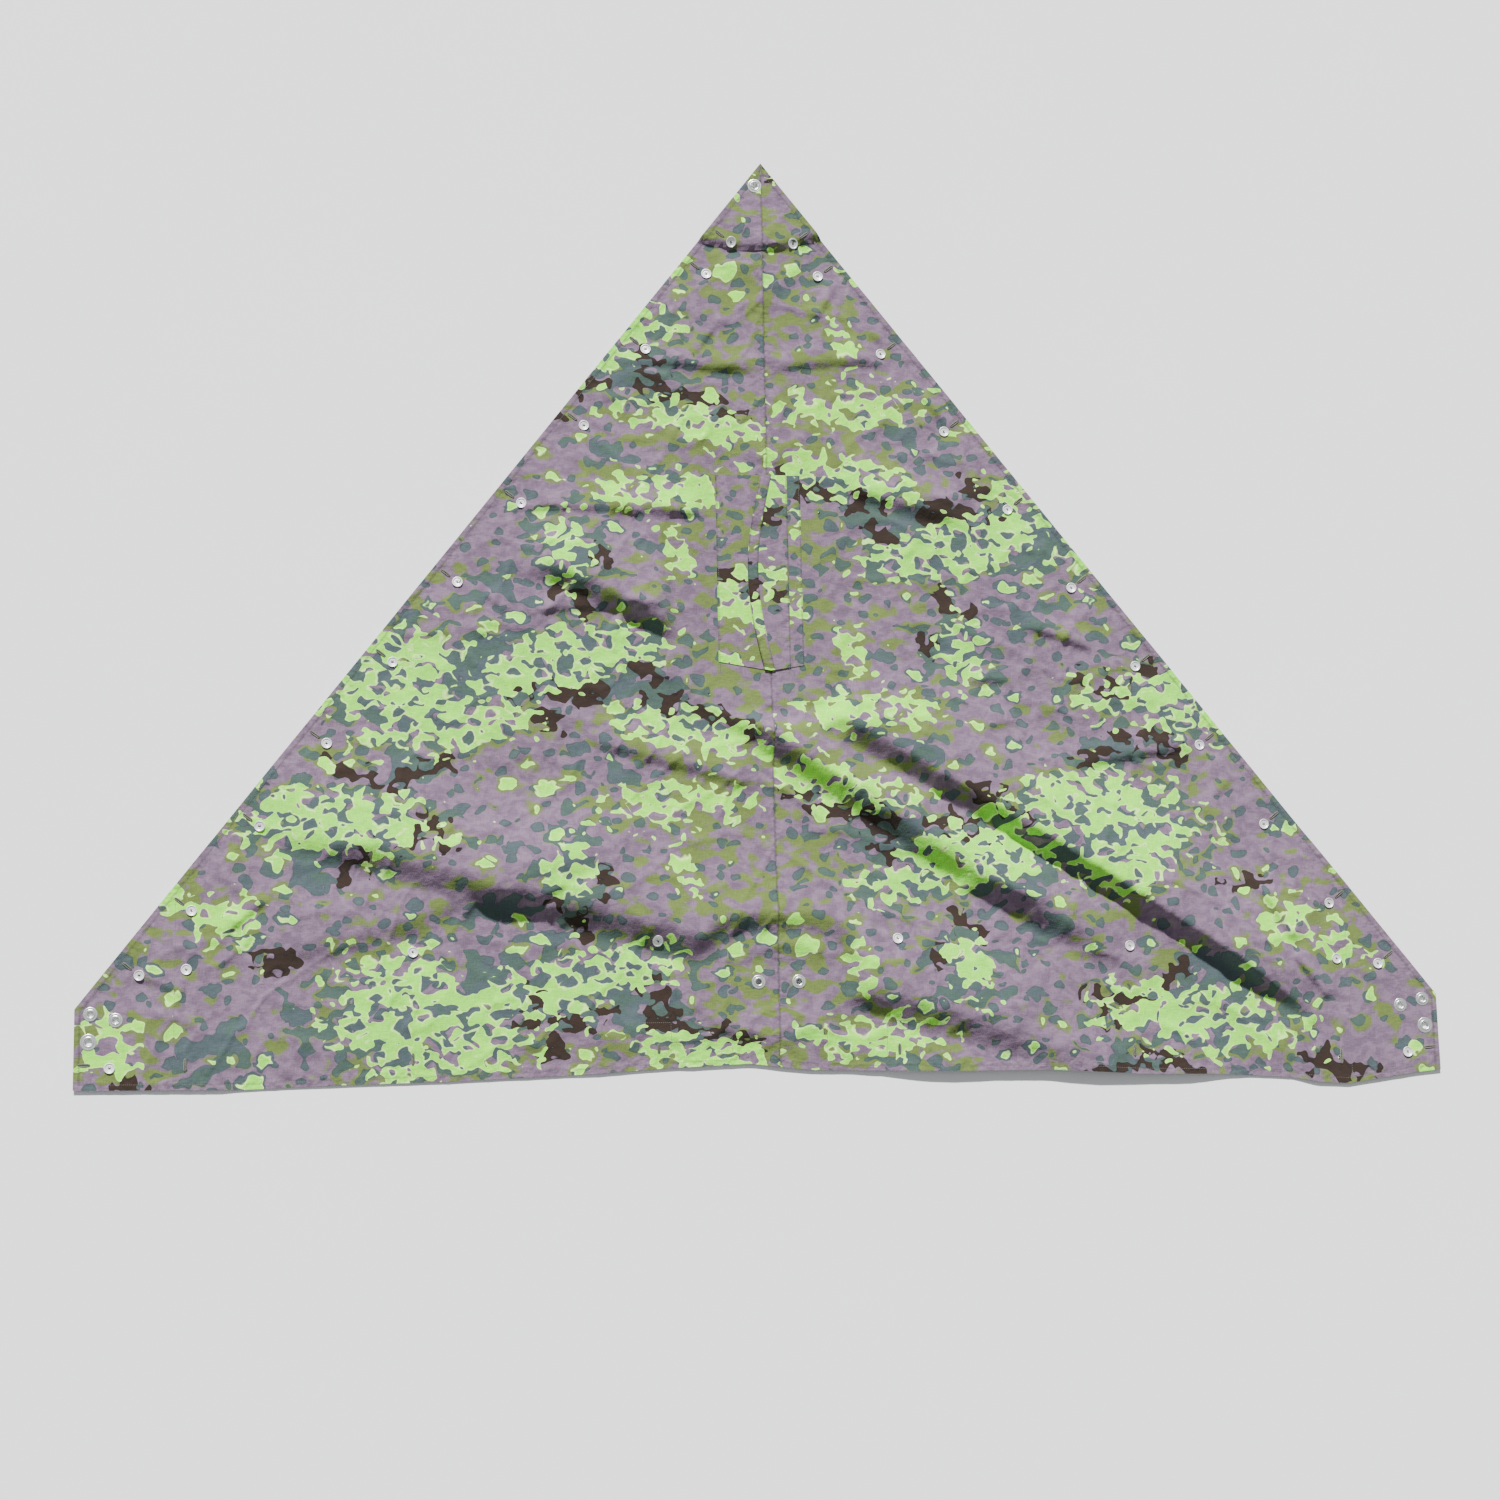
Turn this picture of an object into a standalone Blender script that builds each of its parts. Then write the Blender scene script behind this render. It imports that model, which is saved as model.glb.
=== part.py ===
"""Triangular buttoned shelter sheet, laid out on the ground with the folds of a sheet just unpacked.

Two cotton panels meet along a centre seam, from the middle of the base edge to the apex. Part of the seam is
left open as a neck slit, which two overlapping flaps cover. Doubling patches lie under the corners, the apex
and the middle of the base edge. Eyelets go through cloth and patch there, metal buttons stand along the two
sides and above the base edge, and a buttonhole lies between each button and the nearest edge.

+X runs along the base edge, +Y towards the apex and +Z up. Lengths are in metres. Heights in the layout
values below are measured from the base edge, and the model is centred on its own length in Y.
"""

import math

import bmesh
import bpy
from mathutils import Matrix, Vector

# Sheet
BASE = 2.50  # base edge
SIDE = 2.03  # sloping edge, from the apex to the cut corner
CORNER_CUT = 0.135  # upright edge that cuts off each base corner
RISE = CORNER_CUT + math.sqrt(SIDE**2 - (BASE / 2) ** 2)
EDGE_SLOPE = (RISE - CORNER_CUT) / (BASE / 2)

# Cloth
CLOTH = 0.0010  # panel
FLAP_CLOTH = 0.0010  # flaps, facing and binding
PATCH_CLOTH = 0.0008  # doubling patches
GAP = 0.0003  # clearance between pieces that touch

# Neck slit, on the centre seam
SLIT_MIDDLE = 0.53906  # share of the rise where its middle lies
SLIT_LENGTH = 0.35
SLIT_LOW = SLIT_MIDDLE * RISE - SLIT_LENGTH / 2  # lower end, from the base edge
SLIT_WIDTH = 0.012  # in the middle; it closes to a point at both ends
FLAP_END = 0.012  # flap past each end of the slit
OUTER_ROOT = 0.0375  # sewn edge of the outer flap, right of the seam
OUTER_REACH = 0.012  # free edge of the outer flap at its ends, left of the seam
OUTER_BOW = 0.028  # how much further it reaches in the middle
BINDING_WIDTH = 0.020
INNER_ROOT = 0.0975  # sewn edge of the inner flap, left of the seam
INNER_STOP = 0.004  # free edge of the inner flap, left of the seam
FACING_INNER = 0.0300  # doubled strip that carries the outer flap, right of the seam
FACING_OUTER = 0.0625

# Buttons and buttonholes
BUTTON_RADIUS = 0.0095
BUTTON_FOOT = 0.0052  # flat middle of the underside
BUTTON_DISH = 0.0062  # sunk middle of the upper side
BUTTON_WALL = 0.0011
BUTTON_RIM_LOW = 0.0015
BUTTON_RIM_TOP = 0.0027
BUTTON_DRAW = 0.0003  # how far the rim leans in towards its top
THREAD_HOLE = 0.0009
THREAD_PITCH = 0.0034
SIDE_INSET = 0.051  # button row to sloping edge
FIRST_BUTTON = 0.162  # along the sloping edge, from the apex
SECOND_STEP = 0.077
SIDE_REPEATS = 8  # equal steps after the second button
LAST_STEP = 0.145
SIDE_END = 0.114  # last button to the cut corner
SIDE_PITCH = (SIDE - FIRST_BUTTON - SECOND_STEP - LAST_STEP - SIDE_END) / SIDE_REPEATS
CORNER_BUTTON = (0.062, 0.037)  # in from the corner's upright edge, up from the base edge
BASE_OUTER = BASE / 2 - 0.192  # outermost button of the base row, from the seam
BASE_LAST_STEP = 0.398  # to the outermost button from its neighbour
BASE_PITCH = (BASE_OUTER - BASE_LAST_STEP) / 1.5
BASE_ROW = 0.248  # height of the base row at the seam
BASE_ROW_DROP = 0.045  # how much lower its outermost buttons are
HOLE_EASE = 0.003  # buttonhole longer than the button is wide
HOLE_LENGTH = 2 * BUTTON_RADIUS + HOLE_EASE
HOLE_WIDTH = 0.0016
HOLE_END = 0.013  # outer end of a buttonhole to the sloping edge
HOLE_INSET = HOLE_END + HOLE_LENGTH / 2
BASE_HOLE_INSET = 0.041
CORNER_HOLE_END = 0.007  # outer end of a corner's buttonhole to the upright edge
CORNER_HOLE = (CORNER_HOLE_END + HOLE_LENGTH / 2, 0.042)  # in from that edge, up from the base edge

# Eyelets
SMALL_EYELET = (0.00525, 0.0125)  # hole radius, flange radius
APEX_EYELET = (0.0060, 0.0135)
LARGE_EYELET = (0.0065, 0.0145)
EYELET_WALL = 0.0006
WASHER = 0.0010
FLANGE = 0.0005
FLANGE_DRAW = 0.0004  # how far the flange's edge leans in
WASHER_SHORT = 0.0005  # washer's edge inside the flange's
ROLL = 0.0008  # how far the rolled lip stands above the flange
ROLL_CREST = 0.0015  # from the hole's wall
ROLL_FOOT = 0.0032
APEX_EYELET_AT = (-0.012, 0.045)  # from the seam, down from the apex
CORNER_EYELETS = (  # in from the corner's upright edge, up from the base edge, size
    (0.0275, 0.126, SMALL_EYELET),
    (0.0710, 0.115, SMALL_EYELET),
    (0.0250, 0.079, LARGE_EYELET),
)
BASE_EYELET = (0.037, 0.170)  # from the seam, up from the base edge

# Doubling patches, under the panels
PATCH_INSET = 0.012  # from the sheet's edges
CORNER_PATCH = 0.175  # width
APEX_PATCH = 0.110  # depth, down from the apex
BASE_PATCH = (0.180, 0.225)  # width across the seam, height of its upper edge
HOLE_PATCH_INNER = BASE_PITCH / 2 - 0.025  # sides, from the seam; a buttonhole goes through it
HOLE_PATCH_OUTER = BASE_PITCH / 2 + 0.060
HOLE_PATCH_TOP = 0.100
RAISED = WASHER + GAP + PATCH_CLOTH + GAP  # panel over a patch that carries eyelets
RAISED_HOLE = PATCH_CLOTH + GAP  # panel over a patch that lies on the ground

# Lie of the cloth
CELL = 0.050  # side of the triangles that the folded cloth is faceted in
CELL_WELD = 0.0002  # an outline this near a facet's edge is on it
ZONE_MARGIN = 0.045  # blend from a level or lifted zone to the free cloth
APEX_LIFT = 0.008  # the tip stands this high on the crease below it
# A fold: start, end, bow towards the high side, height, width of the steep side, width of the gentle side.
# Points are x from the seam and height from the base edge. Going from start to end, the high side is on the
# left.
FOLDS = (
    ((-0.497, 0.950), (-0.050, 0.715), 0.028, 0.030, 0.060, 0.150),
    ((-0.060, 0.735), (1.060, 0.055), 0.020, 0.040, 0.060, 0.200),
    ((-0.260, 0.790), (0.700, 0.150), -0.015, 0.034, 0.070, 0.100),
    ((-1.030, 0.465), (0.700, -0.040), 0.020, 0.032, 0.080, 0.220),
    ((-0.991, 0.193), (-0.184, 0.454), -0.023, 0.012, 0.060, 0.120),
    ((0.020, 1.120), (0.400, 1.022), 0.000, 0.014, 0.050, 0.100),
    ((0.120, -0.030), (0.900, -0.030), 0.000, 0.012, 0.020, 0.120),
)
FOLD_TAPER = 0.22  # share of a fold's length that rises at each end

SEGMENTS_BUTTON = 12
SEGMENTS_EYELET = 14
SEGMENTS_SEAT = 24
THROUGH = 0.08  # reach of a cutter above and below the ground

COTTON = (0.36, 0.31, 0.37)
COTTON_INSIDE = (0.33, 0.33, 0.30)
BUTTON_METAL = (0.80, 0.80, 0.79)
EYELET_METAL = (0.72, 0.73, 0.71)


def from_base(y):
    """Model Y of a height above the base edge."""
    return y - RISE / 2


def smooth(t):
    """0 below 0, 1 above 1, and an S-curve between."""
    t = min(max(t, 0.0), 1.0)
    return t * t * (3 - 2 * t)


def fold_height(x, y, fold):
    """Height that one fold gives at x and height y: steep on its shaded side, gentle on the other."""
    start, end, bow, height, steep, gentle = fold
    along = Vector(end) - Vector(start)
    offset = Vector((x, y)) - Vector(start)
    share = offset.dot(along) / along.length_squared
    if not 0 < share < 1:
        return 0.0
    across = (along.x * offset.y - along.y * offset.x) / along.length - bow * 4 * share * (1 - share)
    crest = steep / 2
    rise = smooth((across + crest) / steep) if across < crest else smooth(1 - (across - crest) / gentle)
    return height * rise * smooth(share / FOLD_TAPER) * smooth((1 - share) / FOLD_TAPER)


def folds_height(x, y):
    return sum(fold_height(x, y, fold) for fold in FOLDS)


def flat_zones():
    """Rectangles where stiff pieces hold the cloth level: low x, high x, low y, high y."""
    across, down = APEX_EYELET_AT
    flange = LARGE_EYELET[1]
    near = BASE / 2 - max(inward for inward, _, _ in CORNER_EYELETS) - flange
    low = min(up for _, up, _ in CORNER_EYELETS) - flange
    high = max(up for _, up, _ in CORNER_EYELETS) + flange
    pair_x, pair_y = BASE_EYELET
    return (
        (-INNER_ROOT, FACING_OUTER, SLIT_LOW - FLAP_END, SLIT_LOW + SLIT_LENGTH + FLAP_END),
        (across - flange, across + flange, RISE - down - flange, RISE - down + flange),
        (-BASE / 2, -near, low, high),
        (near, BASE / 2, low, high),
        (-pair_x - flange, pair_x + flange, pair_y - flange, pair_y + flange),
    )


def lifted_zones():
    """Rectangles over the doubling patches, each with how far patch and fittings lift the panels."""
    near = BASE / 2 - CORNER_PATCH
    top = edge_height(near, 0.0)
    half, base_top = BASE_PATCH[0] / 2, BASE_PATCH[1]
    apex_half = edge_x(RISE - APEX_PATCH, 0.0)
    return (
        ((-apex_half, apex_half, RISE - APEX_PATCH, RISE), RAISED + APEX_LIFT),
        ((-BASE / 2, -near, 0.0, top), RAISED),
        ((near, BASE / 2, 0.0, top), RAISED),
        ((-half, half, 0.0, base_top), RAISED),
        ((-HOLE_PATCH_OUTER, -HOLE_PATCH_INNER, 0.0, HOLE_PATCH_TOP), RAISED_HOLE),
        ((HOLE_PATCH_INNER, HOLE_PATCH_OUTER, 0.0, HOLE_PATCH_TOP), RAISED_HOLE),
    )


def zone_share(x, y, zone):
    """1 in the rectangle and one facet round it, 0 past its margin."""
    low_x, high_x, low_y, high_y = zone
    out_x = max(low_x - x, x - high_x, 0.0)
    out_y = max(low_y - y, y - high_y, 0.0)
    return 1 - smooth((math.hypot(out_x, out_y) - CELL * math.sqrt(2)) / ZONE_MARGIN)


def cloth_rest(x, y):
    """Height of the panels' underside at x and height y, before it is faceted."""
    height = folds_height(x, y)
    for zone in flat_zones():
        low_x, high_x, low_y, high_y = zone
        level = folds_height((low_x + high_x) / 2, (low_y + high_y) / 2)
        height += zone_share(x, y, zone) * (level - height)
    return height + max(zone_share(x, y, zone) * lift for zone, lift in lifted_zones())


RESTS = {}


def node_height(column, row):
    """Height of the cloth's underside at a corner of the facets, worked out once."""
    if (column, row) not in RESTS:
        RESTS[column, row] = cloth_rest(column * CELL, row * CELL)
    return RESTS[column, row]


def cloth_height(x, y):
    """Height of the faceted underside at model X and Y. Each square cell is split by x + y."""
    across, up = x / CELL, (y + RISE / 2) / CELL
    column, row = math.floor(across), math.floor(up)
    u, v = across - column, up - row
    if u + v <= 1:
        corner = node_height(column, row)
        right, above = node_height(column + 1, row), node_height(column, row + 1)
        return corner + u * (right - corner) + v * (above - corner)
    corner = node_height(column + 1, row + 1)
    left, below = node_height(column, row + 1), node_height(column + 1, row)
    return corner + (1 - u) * (left - corner) + (1 - v) * (below - corner)


def material(name, color, roughness, metallic):
    made = bpy.data.materials.new(name)
    made.use_nodes = True
    shader = made.node_tree.nodes["Principled BSDF"]
    shader.inputs["Base Color"].default_value = (*color, 1.0)
    shader.inputs["Roughness"].default_value = roughness
    shader.inputs["Metallic"].default_value = metallic
    made.diffuse_color = (*color, 1.0)
    return made


def add_object(name, mesh, look):
    obj = bpy.data.objects.new(name, mesh)
    bpy.context.scene.collection.objects.link(obj)
    if look and not mesh.materials:
        mesh.materials.append(look)
    return obj


def finish_mesh(name, bm):
    bmesh.ops.recalc_face_normals(bm, faces=bm.faces)
    mesh = bpy.data.meshes.new(name)
    bm.to_mesh(mesh)
    bm.free()
    return mesh


def extruded(name, outline, low, thickness):
    """Upright prism: an outline of (x, y) points, from height low up by thickness."""
    bm = bmesh.new()
    face = bm.faces.new([bm.verts.new((x, y, low)) for x, y in outline])
    raised = bmesh.ops.extrude_face_region(bm, geom=[face])["geom"]
    verts = [item for item in raised if isinstance(item, bmesh.types.BMVert)]
    bmesh.ops.translate(bm, verts=verts, vec=(0, 0, thickness))
    return finish_mesh(name, bm)


def draped(name, outline, below, thickness):
    """Cloth over the folds: an outline of model (x, y) points, cut along the facets and given thickness.

    below is the distance from the panels' underside down to this cloth's underside.
    """
    bm = bmesh.new()
    bm.faces.new([bm.verts.new((x, y, 0)) for x, y in outline])
    wide = [x for x, _ in outline]
    columns = range(math.floor(min(wide) / CELL), math.ceil(max(wide) / CELL))
    rows = range(math.ceil(RISE / CELL))
    diagonals = range(columns.start + rows.start, columns.stop + rows.stop)
    cuts = [((i * CELL, 0, 0), (1, 0, 0)) for i in columns]
    cuts += [((0, from_base(j * CELL), 0), (0, 1, 0)) for j in rows]
    cuts += [((0, from_base(k * CELL), 0), (1, 1, 0)) for k in diagonals]
    for point, normal in cuts:
        geometry = bm.verts[:] + bm.edges[:] + bm.faces[:]
        bmesh.ops.bisect_plane(bm, geom=geometry, plane_co=point, plane_no=normal, dist=CELL_WELD)
    bmesh.ops.triangulate(bm, faces=bm.faces)
    for vert in bm.verts:
        vert.co.z = cloth_height(vert.co.x, vert.co.y) - below
    raised = bmesh.ops.extrude_face_region(bm, geom=bm.faces[:])["geom"]
    verts = [item for item in raised if isinstance(item, bmesh.types.BMVert)]
    bmesh.ops.translate(bm, verts=verts, vec=(0, 0, thickness))
    return finish_mesh(name, bm)


def turned(name, profile, segments):
    """Ring or disc turned about Z from a profile of (radius, z), listed with the solid on its left."""
    bm = bmesh.new()
    rings = []
    for radius, z in profile:
        angles = [2 * math.pi * step / segments for step in range(segments)]
        rings.append([bm.verts.new((radius * math.cos(a), radius * math.sin(a), z)) for a in angles])
    pairs = list(zip(rings, rings[1:] + rings[:1]))
    for lower, upper in pairs:
        for i in range(segments):
            j = (i + 1) % segments
            bm.faces.new((lower[i], lower[j], upper[j], upper[i]))
    mesh = finish_mesh(name, bm)
    mesh.shade_smooth()
    mesh.set_sharp_from_angle(angle=math.radians(40))
    return mesh


def box_cutter(name, x, y, angle, length, width):
    """Upright slot cutter, its length turned by angle from +X."""
    half, side = length / 2, width / 2
    outline = [(-half, -side), (half, -side), (half, side), (-half, side)]
    cutter = add_object(name, extruded(name, outline, -THROUGH, 2 * THROUGH), None)
    cutter.location = (x, y, 0)
    cutter.rotation_euler = (0, 0, angle)
    return hidden(cutter)


def round_cutter(name, x, y, radius):
    angles = [2 * math.pi * step / SEGMENTS_EYELET for step in range(SEGMENTS_EYELET)]
    outline = [(radius * math.cos(a), radius * math.sin(a)) for a in angles]
    cutter = add_object(name, extruded(name, outline, -THROUGH, 2 * THROUGH), None)
    cutter.location = (x, y, 0)
    return hidden(cutter)


def hidden(cutter):
    cutter.hide_render = True
    cutter.display_type = "WIRE"
    return cutter


def cut(obj, cutters):
    collection = bpy.data.collections.new(obj.name + "_cutters")
    for cutter in cutters:
        collection.objects.link(cutter)
    modifier = obj.modifiers.new("openings", "BOOLEAN")
    modifier.operation = "DIFFERENCE"
    modifier.solver = "EXACT"
    modifier.operand_type = "COLLECTION"
    modifier.collection = collection


def side_direction(sign):
    """Unit vector down the sloping edge on the side of that sign, and the one from it into the cloth."""
    down = Vector((sign * BASE / 2, CORNER_CUT - RISE)).normalized()
    return down, Vector((-sign * abs(down.y), -abs(down.x)))


def side_steps():
    """Distances of the side buttons along the sloping edge, from the apex."""
    second = FIRST_BUTTON + SECOND_STEP
    steps = [FIRST_BUTTON] + [second + SIDE_PITCH * i for i in range(SIDE_REPEATS + 1)]
    return steps + [steps[-1] + LAST_STEP]


def side_places(sign, inset):
    down, inward = side_direction(sign)
    return [Vector((0, RISE)) + down * step + inward * inset for step in side_steps()]


def base_columns():
    return (BASE_PITCH / 2, BASE_PITCH * 3 / 2, BASE_OUTER)


def button_places():
    """Every button as name, x and height from the base edge."""
    places = []
    for side, sign in (("left", -1), ("right", 1)):
        for number, place in enumerate(side_places(sign, SIDE_INSET), 1):
            places.append((f"button_{side}_{number:02d}", place.x, place.y))
        inward, up = CORNER_BUTTON
        places.append((f"button_{side}_corner", sign * (BASE / 2 - inward), up))
        for number, x in enumerate(base_columns(), 1):
            up = BASE_ROW - BASE_ROW_DROP * (x / BASE_OUTER) ** 2
            places.append((f"button_base_{side}_{number}", sign * x, up))
    return places


def eyelet_places():
    """Every eyelet as name, x, height from the base edge and size."""
    across, down = APEX_EYELET_AT
    places = [("eyelet_apex", across, RISE - down, APEX_EYELET)]
    for side, sign in (("left", -1), ("right", 1)):
        for number, (inward, up, size) in enumerate(CORNER_EYELETS, 1):
            places.append((f"eyelet_{side}_{number}", sign * (BASE / 2 - inward), up, size))
        places.append((f"eyelet_base_{side}", sign * BASE_EYELET[0], BASE_EYELET[1], SMALL_EYELET))
    return places


def buttonhole_places():
    """Every buttonhole as x, height from the base edge and angle from +X."""
    places = []
    for sign in (-1, 1):
        _, inward = side_direction(sign)
        angle = math.atan2(inward.y, inward.x)
        places += [(place.x, place.y, angle) for place in side_places(sign, HOLE_INSET)]
        inset, up = CORNER_HOLE
        places.append((sign * (BASE / 2 - inset), up, 0.0))
        places += [(sign * x, BASE_HOLE_INSET, math.pi / 2) for x in base_columns()]
    return places


def panel_outline(sign):
    """Half of the sheet, from just beside the centre seam."""
    seam, far = sign * GAP / 2, sign * BASE / 2
    top = from_base(edge_height(abs(seam), 0.0))
    return [(seam, from_base(0)), (far, from_base(0)), (far, from_base(CORNER_CUT)), (seam, top)]


def edge_height(x, inset):
    """Height of the line that runs inset inside the right-hand sloping edge, at x."""
    return RISE - EDGE_SLOPE * x - inset * math.hypot(1, EDGE_SLOPE)


def edge_x(y, inset):
    return (RISE - inset * math.hypot(1, EDGE_SLOPE) - y) / EDGE_SLOPE


def corner_patch_outline(sign):
    far, near = BASE / 2 - PATCH_INSET, BASE / 2 - CORNER_PATCH
    high_far, high_near = edge_height(far, PATCH_INSET), edge_height(near, PATCH_INSET)
    points = [(near, PATCH_INSET), (far, PATCH_INSET), (far, high_far), (near, high_near)]
    return [(sign * x, from_base(y)) for x, y in points]


def slit_outline():
    """Lens between two arcs, pointed at both ends of the neck slit."""
    steps = 12
    shares = [step / steps for step in range(steps + 1)]
    right = [(SLIT_WIDTH / 2 * math.sin(math.pi * s), SLIT_LOW + SLIT_LENGTH * s) for s in shares]
    left = [(-x, y) for x, y in reversed(right[1:-1])]
    return [(x, from_base(y)) for x, y in right + left]


def outer_edge(share):
    """Free edge of the outer flap, as a distance left of the seam, at a share of its length."""
    return OUTER_REACH + OUTER_BOW * math.sin(math.pi * share)


def make_panels(cotton, cutters):
    panels = []
    slit = add_object("slit_cutter", extruded("slit_cutter", slit_outline(), -THROUGH, 2 * THROUGH), None)
    for side, sign in (("left", -1), ("right", 1)):
        outline = panel_outline(sign)
        panel = add_object(f"{side}_panel", draped(f"{side}_panel", outline, 0.0, CLOTH), cotton)
        cut(panel, [*cutters, hidden(slit)])
        panels.append(panel)
    return panels


def make_patches(cotton, cutters):
    """Doubling patches, sewn to the underside of the panels."""
    inset = PATCH_INSET
    low = RISE - APEX_PATCH
    half, top = edge_x(low, inset), edge_height(0.0, inset)
    outlines = {
        "patch_apex": [(-half, from_base(low)), (half, from_base(low)), (0, from_base(top))],
        "patch_left_corner": corner_patch_outline(-1),
        "patch_right_corner": corner_patch_outline(1),
        "patch_base": rectangle(-BASE_PATCH[0] / 2, BASE_PATCH[0] / 2, inset, BASE_PATCH[1]),
        "patch_left_buttonhole": rectangle(-HOLE_PATCH_OUTER, -HOLE_PATCH_INNER, inset, HOLE_PATCH_TOP),
        "patch_right_buttonhole": rectangle(HOLE_PATCH_INNER, HOLE_PATCH_OUTER, inset, HOLE_PATCH_TOP),
    }
    for name, outline in outlines.items():
        patch = add_object(name, draped(name, outline, GAP + PATCH_CLOTH, PATCH_CLOTH), cotton)
        cut(patch, cutters)


def rectangle(low_x, high_x, low_y, high_y):
    low, high = from_base(low_y), from_base(high_y)
    return [(low_x, low), (high_x, low), (high_x, high), (low_x, high)]


def make_neck(cotton):
    """Two flaps over the slit. Each one's origin is on its sewn edge, at its upper face, where it folds."""
    low, high = SLIT_LOW - FLAP_END, SLIT_LOW + SLIT_LENGTH + FLAP_END
    middle = from_base((low + high) / 2)
    first = cloth_height(0.0, middle) + CLOTH + GAP
    second = first + FLAP_CLOTH + GAP
    half = (high - low) / 2

    facing = rectangle(FACING_INNER, FACING_OUTER, low, high)
    add_object("neck_facing", extruded("neck_facing", facing, first, FLAP_CLOTH), cotton)

    width = INNER_ROOT - INNER_STOP
    outline = [(0, -half), (width, -half), (width, half), (0, half)]
    inner = add_object("inner_flap", extruded("inner_flap", outline, -FLAP_CLOTH, FLAP_CLOTH), cotton)
    inner.location = (-INNER_ROOT, middle, first + FLAP_CLOTH)

    steps = 10
    shares = [step / steps for step in range(steps + 1)]
    free_edge = [(-OUTER_ROOT - outer_edge(s), half * (1 - 2 * s)) for s in shares]
    outline = free_edge + [(0, -half), (0, half)]
    outer = add_object("outer_flap", extruded("outer_flap", outline, -FLAP_CLOTH, FLAP_CLOTH), cotton)
    outer.location = (OUTER_ROOT, middle, second + FLAP_CLOTH)

    inside = [(x + BINDING_WIDTH, y) for x, y in reversed(free_edge)]
    outline = free_edge + inside
    binding = add_object("flap_binding", extruded("flap_binding", outline, GAP, FLAP_CLOTH), cotton)
    binding.parent = outer


def button_mesh(metal):
    """Dished button: a sunk middle with four thread holes, and a rim that stands clear of the cloth."""
    profile = [
        (BUTTON_FOOT, 0.0),
        (BUTTON_RADIUS, BUTTON_RIM_LOW),
        (BUTTON_RADIUS - BUTTON_DRAW, BUTTON_RIM_TOP),
        (BUTTON_DISH, BUTTON_WALL),
    ]
    bm = bmesh.new()
    rings = []
    for radius, z in profile:
        angles = [2 * math.pi * step / SEGMENTS_BUTTON for step in range(SEGMENTS_BUTTON)]
        rings.append([bm.verts.new((radius * math.cos(a), radius * math.sin(a), z)) for a in angles])
    for lower, upper in zip(rings, rings[1:]):
        for i in range(SEGMENTS_BUTTON):
            j = (i + 1) % SEGMENTS_BUTTON
            bm.faces.new((lower[i], lower[j], upper[j], upper[i]))
    bm.faces.new(reversed(rings[0]))
    bm.faces.new(rings[-1])
    blank = add_object("button_blank", finish_mesh("button_blank", bm), None)
    reach = THREAD_PITCH / 2
    corners = [(sx * reach, sy * reach) for sx in (-1, 1) for sy in (-1, 1)]
    wide = 2 * THREAD_HOLE
    cutters = [box_cutter(f"thread_{i}", x, y, 0.0, wide, wide) for i, (x, y) in enumerate(corners)]
    cut(blank, cutters)
    bpy.context.view_layer.update()
    graph = bpy.context.evaluated_depsgraph_get()
    mesh = bpy.data.meshes.new_from_object(blank.evaluated_get(graph))
    mesh.name = "button"
    mesh.materials.clear()
    mesh.materials.append(metal)
    mesh.shade_smooth()
    mesh.set_sharp_from_angle(angle=math.radians(30))
    for used in [blank, *cutters]:
        bpy.data.objects.remove(used)
    return mesh


def seat(x, y):
    """Placement of a button on the panels' upper side: it leans with the cloth and clears every facet."""
    wide = 2 * BUTTON_RADIUS
    slope_x = (cloth_height(x + BUTTON_RADIUS, y) - cloth_height(x - BUTTON_RADIUS, y)) / wide
    slope_y = (cloth_height(x, y + BUTTON_RADIUS) - cloth_height(x, y - BUTTON_RADIUS)) / wide
    highest = cloth_height(x, y)
    for ring, underside in ((BUTTON_FOOT / 2, 0.0), (BUTTON_FOOT, 0.0), (BUTTON_RADIUS, BUTTON_RIM_LOW)):
        for step in range(SEGMENTS_SEAT):
            angle = 2 * math.pi * step / SEGMENTS_SEAT
            dx, dy = ring * math.cos(angle), ring * math.sin(angle)
            rise = cloth_height(x + dx, y + dy) - slope_x * dx - slope_y * dy
            highest = max(highest, rise - underside)
    lean = Vector((-slope_x, -slope_y, 1)).to_track_quat("Z", "Y")
    return Matrix.LocRotScale(Vector((x, y, highest + CLOTH + GAP)), lean, None)


def make_buttons(metal):
    mesh = button_mesh(metal)
    for name, x, y in button_places():
        add_object(name, mesh, metal).matrix_world = seat(x, from_base(y))


def eyelet_mesh(name, size, metal):
    """Eyelet: washer under the cloth, barrel through it, flange with a rolled lip above."""
    hole, flange = size
    stack = RAISED + CLOTH + GAP
    top = stack + FLANGE
    profile = [
        (hole, 0.0),
        (flange - WASHER_SHORT, 0.0),
        (flange - WASHER_SHORT, WASHER),
        (hole + EYELET_WALL, WASHER),
        (hole + EYELET_WALL, stack),
        (flange, stack),
        (flange - FLANGE_DRAW, top),
        (hole + ROLL_FOOT, top),
        (hole + ROLL_CREST, top + ROLL),
        (hole, top),
    ]
    mesh = turned(name, profile, SEGMENTS_EYELET)
    mesh.materials.append(metal)
    return mesh


def make_eyelets(metal):
    meshes = {size: eyelet_mesh("eyelet", size, metal) for size in (SMALL_EYELET, APEX_EYELET, LARGE_EYELET)}
    for name, x, y, size in eyelet_places():
        eyelet = add_object(name, meshes[size], metal)
        eyelet.location = (x, from_base(y), cloth_height(x, from_base(y)) - RAISED)


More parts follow.
